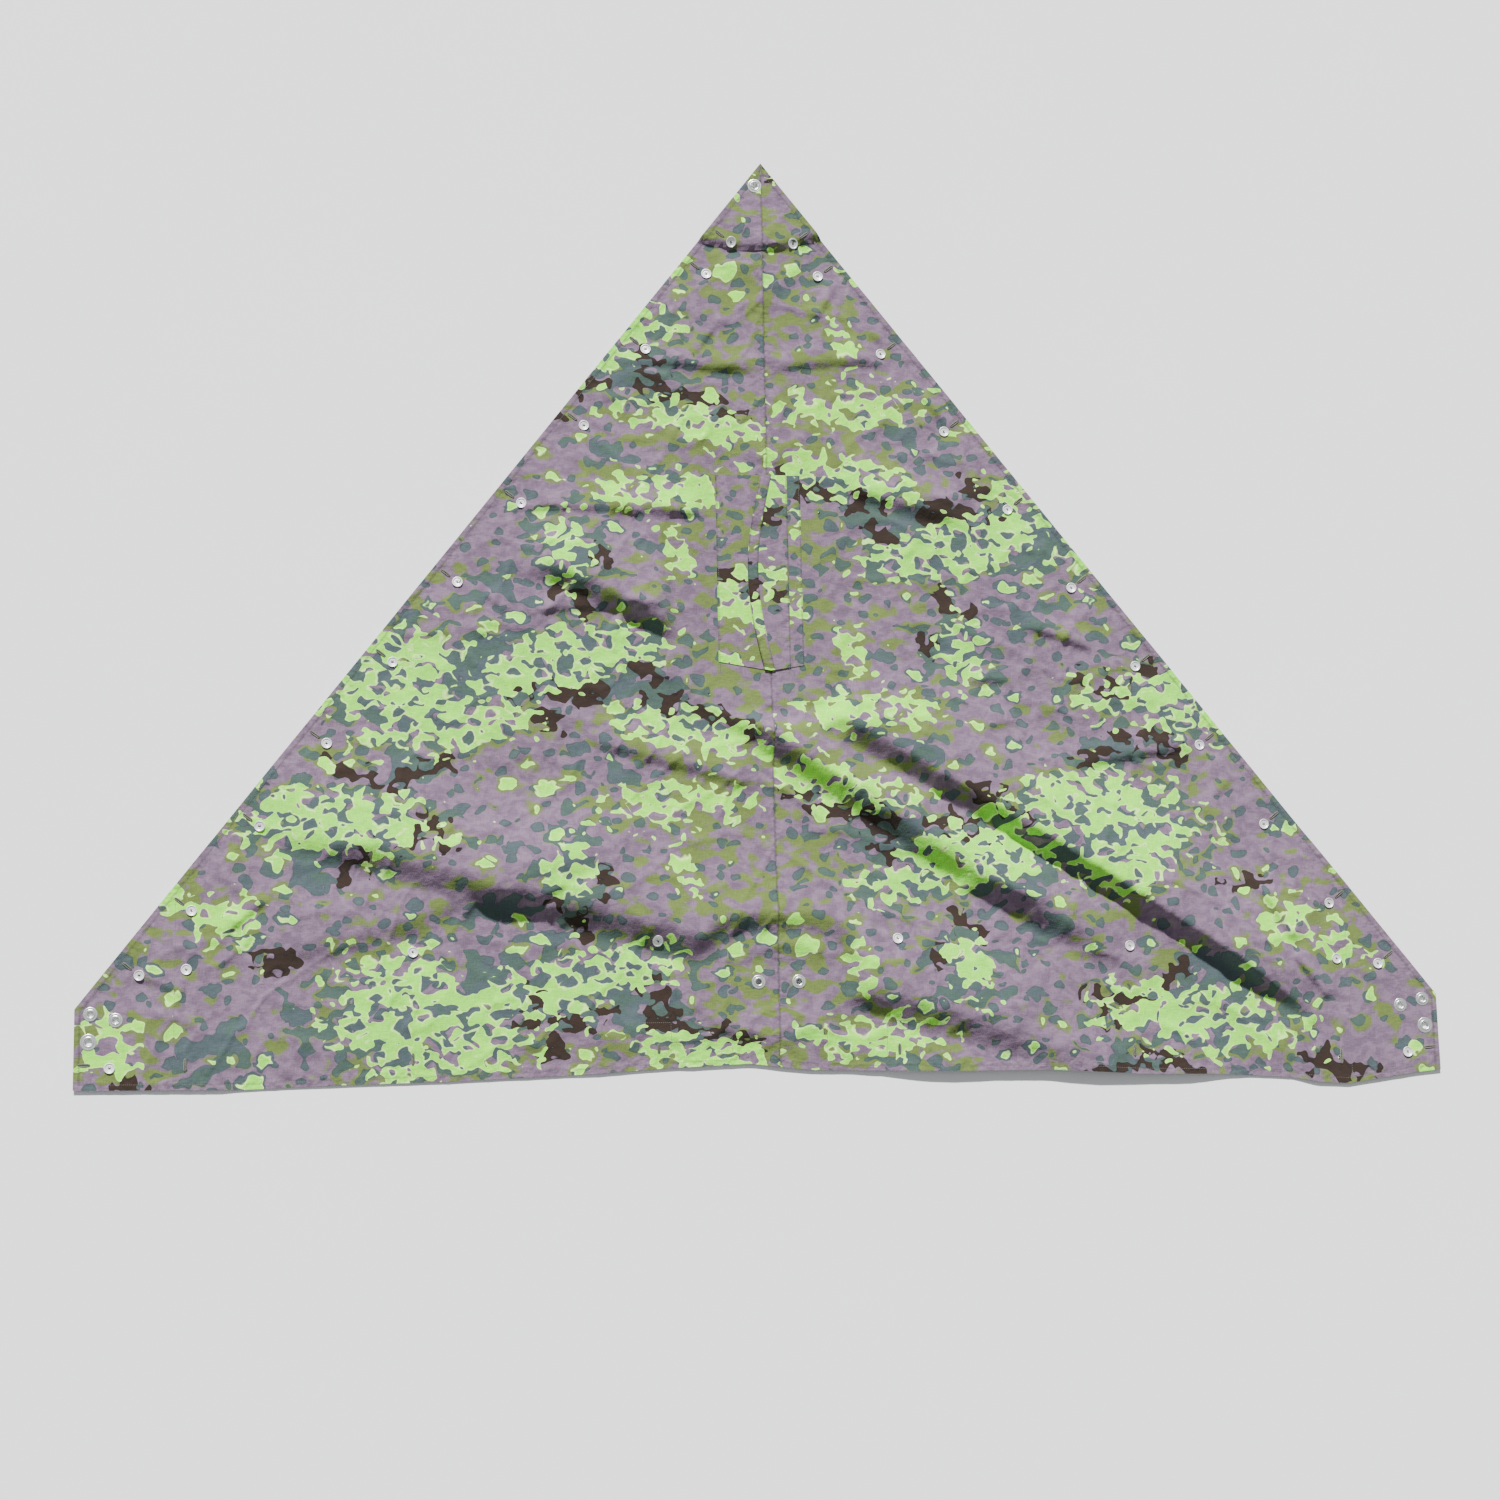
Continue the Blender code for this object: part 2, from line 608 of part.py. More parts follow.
def make_cutters():
    cutters = []
    for name, x, y, (hole, _) in eyelet_places():
        cutters.append(round_cutter(name + "_cutter", x, from_base(y), hole + EYELET_WALL + GAP))
    for number, (x, y, angle) in enumerate(buttonhole_places()):
        cutters.append(box_cutter(f"hole_{number}", x, from_base(y), angle, HOLE_LENGTH, HOLE_WIDTH))
    return cutters


def build():
    for obj in list(bpy.data.objects):
        bpy.data.objects.remove(obj)
    cotton = material("printed_cotton", COTTON, 0.9, 0.0)
    inside = material("plain_cotton", COTTON_INSIDE, 0.9, 0.0)
    cutters = make_cutters()
    make_panels(cotton, cutters)
    make_patches(inside, cutters)
    make_neck(cotton)
    make_buttons(material("button_metal", BUTTON_METAL, 0.45, 1.0))
    make_eyelets(material("eyelet_metal", EYELET_METAL, 0.4, 1.0))


build()
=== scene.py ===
"""Triangular buttoned shelter sheet, laid out flat: printed cotton, metal buttons and rolled eyelets."""

import math

import bpy
import numpy as np
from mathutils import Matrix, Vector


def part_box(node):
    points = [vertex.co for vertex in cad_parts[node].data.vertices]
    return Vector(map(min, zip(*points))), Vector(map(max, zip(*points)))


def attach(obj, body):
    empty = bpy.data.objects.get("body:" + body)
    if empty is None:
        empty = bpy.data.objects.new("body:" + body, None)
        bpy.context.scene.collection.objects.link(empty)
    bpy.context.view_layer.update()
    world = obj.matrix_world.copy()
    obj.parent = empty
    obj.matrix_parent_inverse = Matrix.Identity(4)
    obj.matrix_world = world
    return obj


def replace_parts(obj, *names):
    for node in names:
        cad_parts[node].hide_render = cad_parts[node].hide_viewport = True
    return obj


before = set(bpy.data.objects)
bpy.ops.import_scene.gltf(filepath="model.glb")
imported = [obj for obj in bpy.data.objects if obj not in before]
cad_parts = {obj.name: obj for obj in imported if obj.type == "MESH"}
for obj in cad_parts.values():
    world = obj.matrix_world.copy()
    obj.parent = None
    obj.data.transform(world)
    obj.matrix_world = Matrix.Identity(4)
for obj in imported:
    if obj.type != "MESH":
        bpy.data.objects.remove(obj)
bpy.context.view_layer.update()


# ---- Floor, light and camera ----
# The sheet lies on a plain pale floor. One soft key light stands beyond the apex, a little to the left, and
# a wide pale surround fills the shaded sides of the folds.

def put_in(name, data):
    """Object at the origin that holds a mesh, a lamp or a lens."""
    held = bpy.data.objects.new(name, data)
    bpy.context.scene.collection.objects.link(held)
    return held


def soft_light(name, energy, spread, turn):
    """Far light whose disc is spread wide in the sky, turned by three angles in degrees."""
    lamp = bpy.data.lights.new(name, "SUN")
    lamp.energy = energy
    lamp.angle = math.radians(spread)
    put_in(name, lamp).rotation_euler = [math.radians(angle) for angle in turn]


def new_look(name):
    """Material, its node tree and its shader."""
    look = bpy.data.materials.new(name)
    look.use_nodes = True
    return look, look.node_tree, look.node_tree.nodes["Principled BSDF"]


def add_node(tree, kind, wires=(), **settings):
    """Shader node with its settings; each named input is joined to an output or set to a value."""
    made = tree.nodes.new("ShaderNode" + kind)
    for key, value in settings.items():
        setattr(made, key, value)
    for key, value in dict(wires).items():
        if isinstance(value, bpy.types.NodeSocket):
            tree.links.new(value, made.inputs[key])
        else:
            made.inputs[key].default_value = value
    return made


floor_look, floor_tree, floor_shader = new_look("pale_floor")
floor_place = add_node(floor_tree, "TexCoord")
floor_mottle = add_node(floor_tree, "TexNoise", {"Vector": floor_place.outputs["Object"], "Scale": 3.0})
floor_tint = add_node(floor_tree, "ValToRGB", {"Fac": floor_mottle.outputs["Fac"]})
floor_tint.color_ramp.elements[0].color = (0.93, 0.93, 0.93, 1)
floor_tint.color_ramp.elements[1].color = (0.96, 0.96, 0.96, 1)
floor_tree.links.new(floor_tint.outputs[0], floor_shader.inputs["Base Color"])
floor_shader.inputs["Roughness"].default_value = 0.9

FLOOR_HALF = 60.0
FLOOR_DROP = -0.0012
floor_corners = [(x * FLOOR_HALF, y * FLOOR_HALF, FLOOR_DROP)
                 for x, y in ((-1, -1), (1, -1), (1, 1), (-1, 1))]
floor_mesh = bpy.data.meshes.new("floor")
floor_mesh.from_pydata(floor_corners, [], [(0, 1, 2, 3)])
floor_mesh.materials.append(floor_look)
put_in("floor", floor_mesh)

soft_light("key_light", 9.0, 3.0, (-52.0, -14.0, 0.0))

surround = bpy.data.worlds.new("surround")
surround.use_nodes = True
sky = surround.node_tree.nodes["Background"].inputs
sky["Color"].default_value = (0.93, 0.96, 1.0, 1)
sky["Strength"].default_value = 0.42
bpy.context.scene.world = surround

lens = bpy.data.cameras.new("camera")
lens.lens = 64.46
lens.sensor_width = 36.0
camera = put_in("camera", lens)
camera.location = (-0.7154, -1.0793, 4.8453)
camera.rotation_euler = (0.1672, -0.1345, -0.0213)
bpy.context.scene.camera = camera


# ---- The two cotton panels ----
# Coarse cotton drill, screen printed with lime, olive, slate and brown blotches on mauve. The panels are cut
# head to tail from one cloth, hemmed, and joined along the middle. The sheet keeps the folds of its packing.

BASE = 2.50
SIDE = 2.03  # each sloping edge
CORNER_CUT = 0.135
RISE = CORNER_CUT + math.sqrt(SIDE**2 - (BASE / 2) ** 2)
SLOPE = (RISE - CORNER_CUT) / (BASE / 2)
CLOTH = 0.0010
SLIT_LOW, SLIT_TOP, SLIT_HALF = 0.76, 1.11, 0.006
UNDER_FITTINGS = 0.0024  # panel over a patch and the washers of its eyelets
UNDER_HOLES = 0.0011
APEX_LIFT = 0.008

# Start, end, bow, height, width of the steep side at the start and at the end, width of the gentle side.
# Points are x from the seam and height above the base edge.
FOLDS = (
    ((-0.497, 0.950), (-0.050, 0.715), 0.028, 0.030, 0.052, 0.024, 0.150),
    ((-0.060, 0.735), (1.060, 0.055), 0.020, 0.040, 0.056, 0.024, 0.200),
    ((-0.260, 0.790), (0.700, 0.150), -0.015, 0.033, 0.048, 0.052, 0.100),
    ((-1.030, 0.465), (0.700, -0.040), 0.020, 0.032, 0.054, 0.070, 0.220),
    ((-0.991, 0.193), (-0.184, 0.454), -0.023, 0.012, 0.045, 0.050, 0.120),
    ((0.020, 1.120), (0.400, 1.022), 0.000, 0.014, 0.026, 0.034, 0.100),
    ((0.120, -0.030), (0.900, -0.030), 0.000, 0.012, 0.020, 0.020, 0.120),
)
# Small folds, in the same terms, their heights to be multiplied by CREASE_GAIN
CREASE_GAIN = 1.5
CREASES = (
    ((-0.560, 1.052), (-0.060, 1.036), 0.004, 0.0060, 0.016, 0.016, 0.060),
    ((-0.330, 1.335), (0.010, 1.318), 0.004, 0.0050, 0.014, 0.014, 0.060),
    ((-0.010, 1.318), (0.260, 1.335), 0.012, 0.0050, 0.014, 0.014, 0.060),
    ((-0.470, 0.850), (-0.280, 0.862), 0.004, 0.0045, 0.012, 0.012, 0.050),
    ((-0.545, 0.832), (-0.440, 0.818), 0.000, 0.0035, 0.009, 0.009, 0.030),
    ((-0.534, 0.890), (-0.492, 0.848), 0.000, 0.0035, 0.009, 0.009, 0.030),
    ((-0.560, 0.826), (-0.536, 0.800), 0.000, 0.0030, 0.009, 0.009, 0.025),
    ((-0.700, 0.838), (-0.630, 0.905), 0.004, 0.0045, 0.011, 0.011, 0.035),
    ((-0.290, 0.865), (-0.200, 0.862), 0.000, 0.0040, 0.010, 0.010, 0.035),
    ((-0.275, 0.862), (-0.315, 0.812), 0.000, 0.0030, 0.009, 0.009, 0.025),
    ((-0.375, 0.615), (-0.010, 0.512), 0.006, 0.0070, 0.022, 0.022, 0.070),
    ((0.365, 0.722), (0.462, 0.729), 0.002, 0.0040, 0.009, 0.009, 0.030),
    ((0.395, 0.637), (0.470, 0.652), 0.000, 0.0040, 0.010, 0.010, 0.035),
    ((0.470, 0.832), (0.620, 0.784), 0.004, 0.0055, 0.013, 0.013, 0.045),
    ((0.560, 0.560), (0.820, 0.600), 0.006, 0.0055, 0.014, 0.014, 0.050),
    ((0.700, 0.820), (0.760, 0.740), 0.000, 0.0040, 0.011, 0.011, 0.035),
    ((0.900, 0.345), (0.972, 0.222), 0.004, 0.0080, 0.016, 0.016, 0.050),
    ((0.960, 0.215), (1.040, 0.120), 0.000, 0.0050, 0.012, 0.012, 0.040),
    ((0.330, 0.335), (0.520, 0.300), 0.008, 0.0045, 0.014, 0.014, 0.050),
    ((-0.560, 0.330), (-0.420, 0.308), 0.004, 0.0045, 0.012, 0.012, 0.040),
    ((-0.430, 0.312), (-0.395, 0.262), 0.000, 0.0035, 0.010, 0.010, 0.030),
    ((-0.440, 0.318), (-0.380, 0.345), 0.000, 0.0035, 0.010, 0.010, 0.030),
    ((-1.000, 0.250), (-0.905, 0.330), 0.004, 0.0045, 0.012, 0.012, 0.040),
    ((-1.150, 0.190), (-1.060, 0.150), 0.004, 0.0040, 0.012, 0.012, 0.040),
    ((-0.235, 1.405), (-0.170, 1.462), 0.002, 0.0045, 0.011, 0.011, 0.035),
    ((-0.130, 1.352), (-0.085, 1.412), 0.002, 0.0035, 0.010, 0.010, 0.030),
    ((0.100, 1.420), (0.155, 1.505), 0.002, 0.0045, 0.011, 0.011, 0.030),
    ((0.195, 1.405), (0.290, 1.330), 0.004, 0.0045, 0.012, 0.012, 0.040),
    ((0.290, 1.290), (0.360, 1.205), 0.000, 0.0045, 0.011, 0.011, 0.035),
    ((0.430, 1.130), (0.500, 1.070), 0.000, 0.0035, 0.010, 0.010, 0.035),
    ((-0.020, 0.742), (0.052, 0.756), -0.003, 0.0030, 0.008, 0.008, 0.020),
    ((-0.100, 0.765), (-0.028, 0.744), -0.003, 0.0030, 0.008, 0.008, 0.020),
)


def s_curve(t):
    """0 below 0, 1 above 1, and t squared times (3 - 2 t) between."""
    t = np.clip(t, 0, 1)
    return t * t * (3 - 2 * t)


def fold_lift(x, y, start, end, bow, height, steep, steep_end, gentle):
    """Lift of one fold: an S-curve up across the steep side and another down the gentle side, each fading by
    S-curves to none at its two ends. Its middle line bows by a parabola."""
    ax, ay = end[0] - start[0], end[1] - start[1]
    length = math.hypot(ax, ay)
    share = ((x - start[0]) * ax + (y - start[1]) * ay) / length**2
    across = (ax * (y - start[1]) - ay * (x - start[0])) / length - bow * 4 * share * (1 - share)
    steep = steep + (steep_end - steep) * np.clip(share, 0, 1)
    down = s_curve(1 - (across - steep / 2) / gentle)
    rise = np.where(across < steep / 2, s_curve(across / steep + 0.5), down)
    return height * rise * s_curve(share / 0.22) * s_curve((1 - share) / 0.22)


def in_zone(x, y, low_x, high_x, low_y, high_y, round_it=0.071):
    """1 in the rectangle and for round_it beyond it, falling to 0 by an S-curve over the next 45 mm."""
    out_x = np.maximum(np.maximum(low_x - x, x - high_x), 0)
    out_y = np.maximum(np.maximum(low_y - y, y - high_y), 0)
    return 1 - s_curve((np.hypot(out_x, out_y) - round_it) / 0.045)


def swell(x, y, size, seed):
    """Random swell: a height at each corner of a square net of that size, blended between by S-curves."""
    net = np.random.default_rng(seed).uniform(-1, 1, (128, 128))
    u, v = np.asarray(x) / size, np.asarray(y) / size
    i, j = np.floor(u).astype(int), np.floor(v).astype(int)
    across, up = s_curve(u - i), s_curve(v - j)
    low = net[i % 128, j % 128] * (1 - across) + net[(i + 1) % 128, j % 128] * across
    high = net[i % 128, (j + 1) % 128] * (1 - across) + net[(i + 1) % 128, (j + 1) % 128] * across
    return low * (1 - up) + high * up


# Low and high x, low and high height above the base: where the sheet lies level, and where it is raised
LEVEL_ZONES = (
    (-0.0975, 0.0625, 0.748, 1.122),
    (-0.0265, 0.0025, RISE - 0.0595, RISE - 0.0305),
    (-1.25, -1.1645, 0.0645, 0.1405),
    (1.1645, 1.25, 0.0645, 0.1405),
    (-0.0515, 0.0515, 0.1555, 0.1845),
)
LIFTED_ZONES = (
    (-1.25, -1.075, 0.0, 0.36, UNDER_FITTINGS),
    (1.075, 1.25, 0.0, 0.36, UNDER_FITTINGS),
    (-0.090, 0.090, 0.0, 0.225, UNDER_FITTINGS),
    (-0.280, -0.195, 0.0, 0.100, UNDER_HOLES),
    (0.195, 0.280, 0.0, 0.100, UNDER_HOLES),
)


def apex_step(x, y):
    """Lift of the tip, which drops as a lip: an S-curve, 8 mm wide on the left to 16 mm on the right, across
    a line that dips in its middle."""
    lip = 1.566 + 1.1 * x * x + 0.10 * x * (x > 0)
    return s_curve((y - lip) / (0.008 + 0.008 * s_curve((x + 0.02) / 0.06)) + 0.5)


CREST = 0.041  # height at which a crest starts to be pressed down
PRESS = 0.008  # most that a pressed crest rises above that


def pressed(height):
    """Height with its crests eased down: above CREST it nears CREST + PRESS as a hyperbolic tangent does."""
    return np.where(height > CREST, CREST + PRESS * np.tanh((height - CREST) / PRESS), height)


def edge_gap(x, y):
    """Least distance from a point of the flat sheet to the base, a corner cut or a sloping edge."""
    slant = (RISE - SLOPE * abs(x) - y) / math.hypot(1, SLOPE)
    return np.minimum(np.minimum(y, BASE / 2 - abs(x)), slant)


def rough_lie(x, y):
    """Underside of the panels before it is seated on the fittings: the sum of folds, creases, swells and
    lifted places. The fine relief falls to 15 per cent at the edges."""
    height = sum(fold_lift(x, y, *fold) for fold in FOLDS)
    loose = np.ones_like(height)
    for zone in LEVEL_ZONES:
        middle = [np.array((zone[0] + zone[1]) / 2), np.array((zone[2] + zone[3]) / 2)]
        share = in_zone(x, y, *zone)
        height = height + share * (sum(fold_lift(*middle, *fold) for fold in FOLDS) - height)
        loose = loose * (1 - in_zone(x, y, *zone, round_it=0.012))
    lift = (UNDER_FITTINGS + APEX_LIFT) * apex_step(x, y)
    for *zone, raised in LIFTED_ZONES:
        lift = np.maximum(lift, raised * in_zone(x, y, *zone))
    fine = CREASE_GAIN * sum(fold_lift(x, y, *crease) for crease in CREASES)
    fine = fine + 0.0026 * (1 + swell(x, y, 0.110, 4)) + 0.0009 * (1 + swell(x + 0.4 * y, y, 0.034, 5))
    ridge = 1 - np.abs(swell(x - 0.5 * y, y + 0.2 * x, 0.062, 6))
    fine = fine + 0.0030 * np.clip(ridge, 0, 1) ** 6
    ridge = 1 - np.abs(swell(0.6 * x + y, y - 0.7 * x, 0.094, 9))
    fine = fine + 0.0034 * np.clip(ridge, 0, 1) ** 8
    return pressed(height + lift + loose * fine * (0.15 + 0.85 * s_curve(edge_gap(x, y) / 0.070)))


def fitting_places(kind):
    """Middle in x and height above the base, and lowest z, of each CAD fitting of that kind."""
    names = sorted(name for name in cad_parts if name.startswith(kind))
    boxes = [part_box(name) for name in names]
    places = [((low.x + high.x) / 2, (low.y + high.y) / 2 + RISE / 2, low.z) for low, high in boxes]
    return names, np.array(places)


button_names, button_places = fitting_places("button")
eyelet_names, eyelet_places = fitting_places("eyelet")
seats = np.vstack([button_places - (0, 0, CLOTH + 0.0003), eyelet_places + (0, 0, UNDER_FITTINGS)])
seat_errors = seats[:, 2] - rough_lie(seats[:, 0], seats[:, 1])


def lie(x, y):
    """Underside of the panels: the rough lie, eased to the fittings' heights within 60 mm of each."""
    x, y = np.asarray(x, float), np.asarray(y, float)
    height = rough_lie(x, y)
    total, weight = np.zeros_like(height), np.zeros_like(height)
    for (px, py, _), error in zip(seats, seat_errors):
        near = 1 - s_curve(np.hypot(x - px, y - py) / 0.060)
        total, weight = total + near * error, weight + near
    return np.maximum(height + total / np.maximum(weight, 1), 0.0)


# x from the seam, and how far the base edge lies in from a straight line there
BASE_WAVE = (
    (-1.25, -0.007), (-0.96, -0.010), (-0.81, -0.005), (-0.60, -0.001), (-0.43, 0.005), (-0.33, 0.009),
    (-0.22, 0.016), (-0.055, 0.023), (0.055, 0.010), (0.33, 0.004), (0.50, 0.004), (0.67, -0.006),
    (0.84, -0.009), (0.96, -0.016), (1.015, -0.026), (1.07, -0.029), (1.13, -0.021), (1.19, -0.012),
    (1.25, -0.006),
)


def shifted(x, y):
    """Where a point of the flat sheet lies in plan: the base edge waves in and out, fading 120 mm up."""
    stations, waves = np.array(BASE_WAVE).T
    return x, y + np.interp(x, stations, waves) * (1 - s_curve(y / 0.120))


def laid(x, y, z):
    """Points of the flat sheet where they lie, measured from the middle of its rise."""
    plan_x, plan_y = shifted(x, y)
    return np.stack([plan_x, plan_y - RISE / 2, z], -1)


REPEAT = 0.596  # the print comes round again this far up the cloth
# Middle across and up the cloth, half length, half height, turn in degrees, how solid
LIME_CLUSTERS = (
    (-0.389, 0.169, 0.190, 0.050, 12, 0.060), (-0.680, 0.169, 0.090, 0.055, 0, 0.036),
    (-0.595, 0.052, 0.135, 0.044, 6, 0.040), (-0.690, 0.104, 0.100, 0.045, 0, 0.032),
    (-0.800, 0.464, 0.160, 0.052, -6, 0.042), (-0.188, 0.497, 0.115, 0.034, 4, 0.034),
    (-0.375, 0.376, 0.034, 0.055, 10, 0.040), (-0.134, 0.028, 0.130, 0.032, -12, 0.034),
    (-0.980, 0.290, 0.045, 0.034, 30, 0.032), (-1.190, 0.070, 0.050, 0.040, 0, 0.034),
    (-1.070, 0.330, 0.060, 0.024, -20, 0.030), (-0.170, 0.372, 0.020, 0.040, 20, 0.028),
)
SLATE_AREAS = (
    (-0.570, 0.149, 0.130, 0.036, 38, 0.040), (-0.389, 0.160, 0.200, 0.058, 12, 0.030),
    (-0.250, 0.124, 0.095, 0.032, 0, 0.036), (-0.840, 0.400, 0.075, 0.050, 0, 0.040),
    (-0.660, 0.566, 0.050, 0.036, 0, 0.036), (-0.180, 0.066, 0.090, 0.026, -12, 0.034),
    (-0.650, 0.110, 0.150, 0.085, 0, 0.024), (-0.800, 0.464, 0.140, 0.050, 0, 0.018),
    (-0.375, 0.376, 0.050, 0.062, 0, 0.020), (-1.020, 0.060, 0.060, 0.040, 20, 0.034),
    (-0.520, 0.300, 0.050, 0.020, 10, 0.020), (-0.300, 0.560, 0.060, 0.018, -10, 0.024),
)
BROWN_BLOBS = (
    (-0.362, 0.109, 0.052, 0.026, 0, 0.030), (-0.416, 0.052, 0.030, 0.024, -20, 0.030),
    (-0.200, 0.090, 0.034, 0.026, -20, 0.030), (-0.665, 0.440, 0.055, 0.026, 12, 0.030),
    (-0.315, 0.350, 0.016, 0.026, 0, 0.026), (-0.785, 0.372, 0.014, 0.024, 0, 0.024),
    (-1.110, 0.560, 0.050, 0.024, -20, 0.028), (-0.900, 0.215, 0.040, 0.022, 0, 0.028),
)
BROWN_SNAKES = (
    ((-0.250, 0.174), (-0.215, 0.139), (-0.232, 0.096), (-0.160, 0.079), (-0.100, 0.069), (-0.045, 0.032)),
    ((-0.800, 0.575), (-0.762, 0.545), (-0.700, 0.530), (-0.640, 0.560), (-0.600, 0.575)),
    ((-0.730, 0.414), (-0.785, 0.372)), ((-0.395, 0.306), (-0.362, 0.287), (-0.350, 0.268)),
    ((-0.440, 0.152), (-0.445, 0.112), (-0.480, 0.096)), ((-0.640, 0.470), (-0.600, 0.420)),
    ((-1.160, 0.010), (-1.110, 0.560), (-1.060, 0.520), (-1.010, 0.530)),
)
LIME, SLATE, OLIVE, BROWN = "lime", "slate", "olive", "brown"


def oval(u, v, across, up, half_long, half_high, turn, solid):
    """How far inside an oval of the print: solid at its middle, 0 on its edge, negative outside."""
    du, dv = u - across, (v - up + REPEAT / 2) % REPEAT - REPEAT / 2
    c, s = math.cos(math.radians(turn)), math.sin(math.radians(turn))
    return solid * (1 - np.hypot((du * c + dv * s) / half_long, (dv * c - du * s) / half_high))


def snake(u, v, points, half_width=0.0140):
    """How far inside a winding line: its half width less the distance to the nearest of its stretches."""
    nearest = np.full(np.shape(u), np.inf)
    for (u0, v0), (u1, v1) in zip(points, points[1:]):
        au, av = u1 - u0, (v1 - v0 + REPEAT / 2) % REPEAT - REPEAT / 2
        du, dv = u - u0, (v - v0 + REPEAT / 2) % REPEAT - REPEAT / 2
        share = np.clip((du * au + dv * av) / (au * au + av * av), 0, 1)
        nearest = np.minimum(nearest, np.hypot(du - share * au, dv - share * av))
    return half_width - nearest


def print_fields(u, v):
    """Each ink's field at a place of the print, in metres: above 0 where the ink is laid."""
    lime = np.max([oval(u, v, *cluster) for cluster in LIME_CLUSTERS], axis=0)
    slate = np.max([oval(u, v, *area) for area in SLATE_AREAS], axis=0)
    brown = np.max([oval(u, v, *blob) for blob in BROWN_BLOBS], axis=0)
    brown = np.maximum(brown, np.max([snake(u, v, points) for points in BROWN_SNAKES], axis=0))
    turn = 2 * math.pi * v / REPEAT
    broad = swell(u, 0.6 * np.cos(turn) + 3, 0.090, 11) + swell(u, 0.6 * np.sin(turn) + 5, 0.075, 12)
    olive = 0.011 * broad - 0.0125 + 0.005 * s_curve((u + 0.42) / 0.20)
    olive = np.maximum(olive, 0.006 - np.abs(lime + 0.008))
    return {LIME: lime, SLATE: slate, OLIVE: olive, BROWN: brown}


def close_sheet(name, low, high, grid, kept, place, gap, looks):
    """Cloth of two skins, low and high, over a grid of point numbers (-1 where there is none), joined by
    walls round every edge and hole. kept says which points stay clear of the holes, place is each point's
    place in the print, and gap its distance from the nearest sewing."""
    a, b, c, d = grid[:-1, :-1], grid[:-1, 1:], grid[1:, 1:], grid[1:, :-1]
    tris = np.concatenate([np.stack([a, b, d], -1).reshape(-1, 3), np.stack([b, c, d], -1).reshape(-1, 3)])
    tris = tris[(tris >= 0).all(axis=1)]
    tris = tris[kept[tris].all(axis=1)]
    corner = high[tris]
    area = np.cross(corner[:, 1] - corner[:, 0], corner[:, 2] - corner[:, 0])[:, 2]
    tris = tris if area.sum() > 0 else tris[:, ::-1]
    edges = np.concatenate([tris[:, [0, 1]], tris[:, [1, 2]], tris[:, [2, 0]]])
    count = len(high)
    forward, backward = edges[:, 0] * count + edges[:, 1], edges[:, 1] * count + edges[:, 0]
    rim = edges[~np.isin(forward, backward)]
    walls = np.concatenate([
        np.stack([rim[:, 1], rim[:, 0], rim[:, 0] + count], -1),
        np.stack([rim[:, 1], rim[:, 0] + count, rim[:, 1] + count], -1)])
    faces = np.concatenate([tris, tris[:, ::-1] + count, walls])
    points = np.concatenate([high, low])
    used, faces = np.unique(faces, return_inverse=True)
    faces = faces.reshape(-1, 3)
    points, place = points[used], np.concatenate([place, place])[used]
    mesh = bpy.data.meshes.new(name)
    mesh.vertices.add(len(points))
    mesh.vertices.foreach_set("co", points.ravel())
    mesh.loops.add(faces.size)
    mesh.loops.foreach_set("vertex_index", faces.ravel())
    mesh.polygons.add(len(faces))
    mesh.polygons.foreach_set("loop_start", np.arange(0, faces.size, 3))
    mesh.polygons.foreach_set("material_index", (np.arange(len(faces)) >= len(tris)).astype(int))
    mesh.uv_layers.new(name="print").data.foreach_set("uv", place[faces.ravel()].ravel())
    for ink, field in print_fields(place[:, 0], place[:, 1]).items():
        layer = mesh.attributes.new(ink, "FLOAT", "POINT")
        layer.data.foreach_set("value", np.clip(field, -0.06, 0.06).astype(np.float32))
    sewn = mesh.attributes.new("sewn", "FLOAT", "POINT")
    sewn.data.foreach_set("value", np.concatenate([gap, gap])[used].astype(np.float32))
    mesh.update(calc_edges=True)
    mesh.validate()
    mesh.shade_smooth()
    mesh.set_sharp_from_angle(angle=math.radians(60))
    for look in looks:
        mesh.materials.append(look)
    return put_in(name, mesh)


def linear(red, green, blue):
    """Colour given as 0 to 255 on a screen, as the shader's light values."""
    return tuple((value / 255) ** 2.2 for value in (red, green, blue)) + (1.0,)


def dimmed(color, share):
    """Colour with its light values cut to a share."""
    return tuple(share * value for value in color[:3]) + (1,)


def calc(tree, operation, *values):
    """Math node on outputs or numbers."""
    return add_node(tree, "Math", dict(enumerate(values)), operation=operation).outputs[0]


def over(tree, share, below, above):
    """Colour above laid on the colour below, by share."""
    mixed = add_node(tree, "Mix", {0: share, 6: below, 7: above}, data_type="RGBA")
    return mixed.outputs[2]


def inside(tree, field, soft):
    """0 to 1 across the line where a field in metres passes 0, over a width of twice soft."""
    wires = {"Value": field, "From Min": -soft, "From Max": soft}
    return add_node(tree, "MapRange", wires, interpolation_type="SMOOTHSTEP").outputs[0]


def blotch_rim(tree, field, width, soft):
    """1 outside a blotch and for that width inside its edge, 0 further in."""
    return calc(tree, "SUBTRACT", 1.0, inside(tree, calc(tree, "SUBTRACT", field, width), soft))


def stretched(tree, place, across, up, seed):
    """Place in the print scaled by across and up, and moved off by a seed."""
    wires = {"Vector": place, "Scale": (across, up, 1), "Location": (seed, seed * 1.7, 0)}
    return add_node(tree, "Mapping", wires).outputs[0]


def mottle(tree, place, across, up, seed, detail=2.0):
    """Noise about 0, from roughly -1 to 1, with so many swells a metre across and up."""
    wires = {"Vector": stretched(tree, place, across, up, seed), "Scale": 1.0, "Detail": detail}
    made = add_node(tree, "TexNoise", wires, noise_dimensions="2D")
    return calc(tree, "MULTIPLY_ADD", made.outputs["Fac"], 4.0, -2.0)


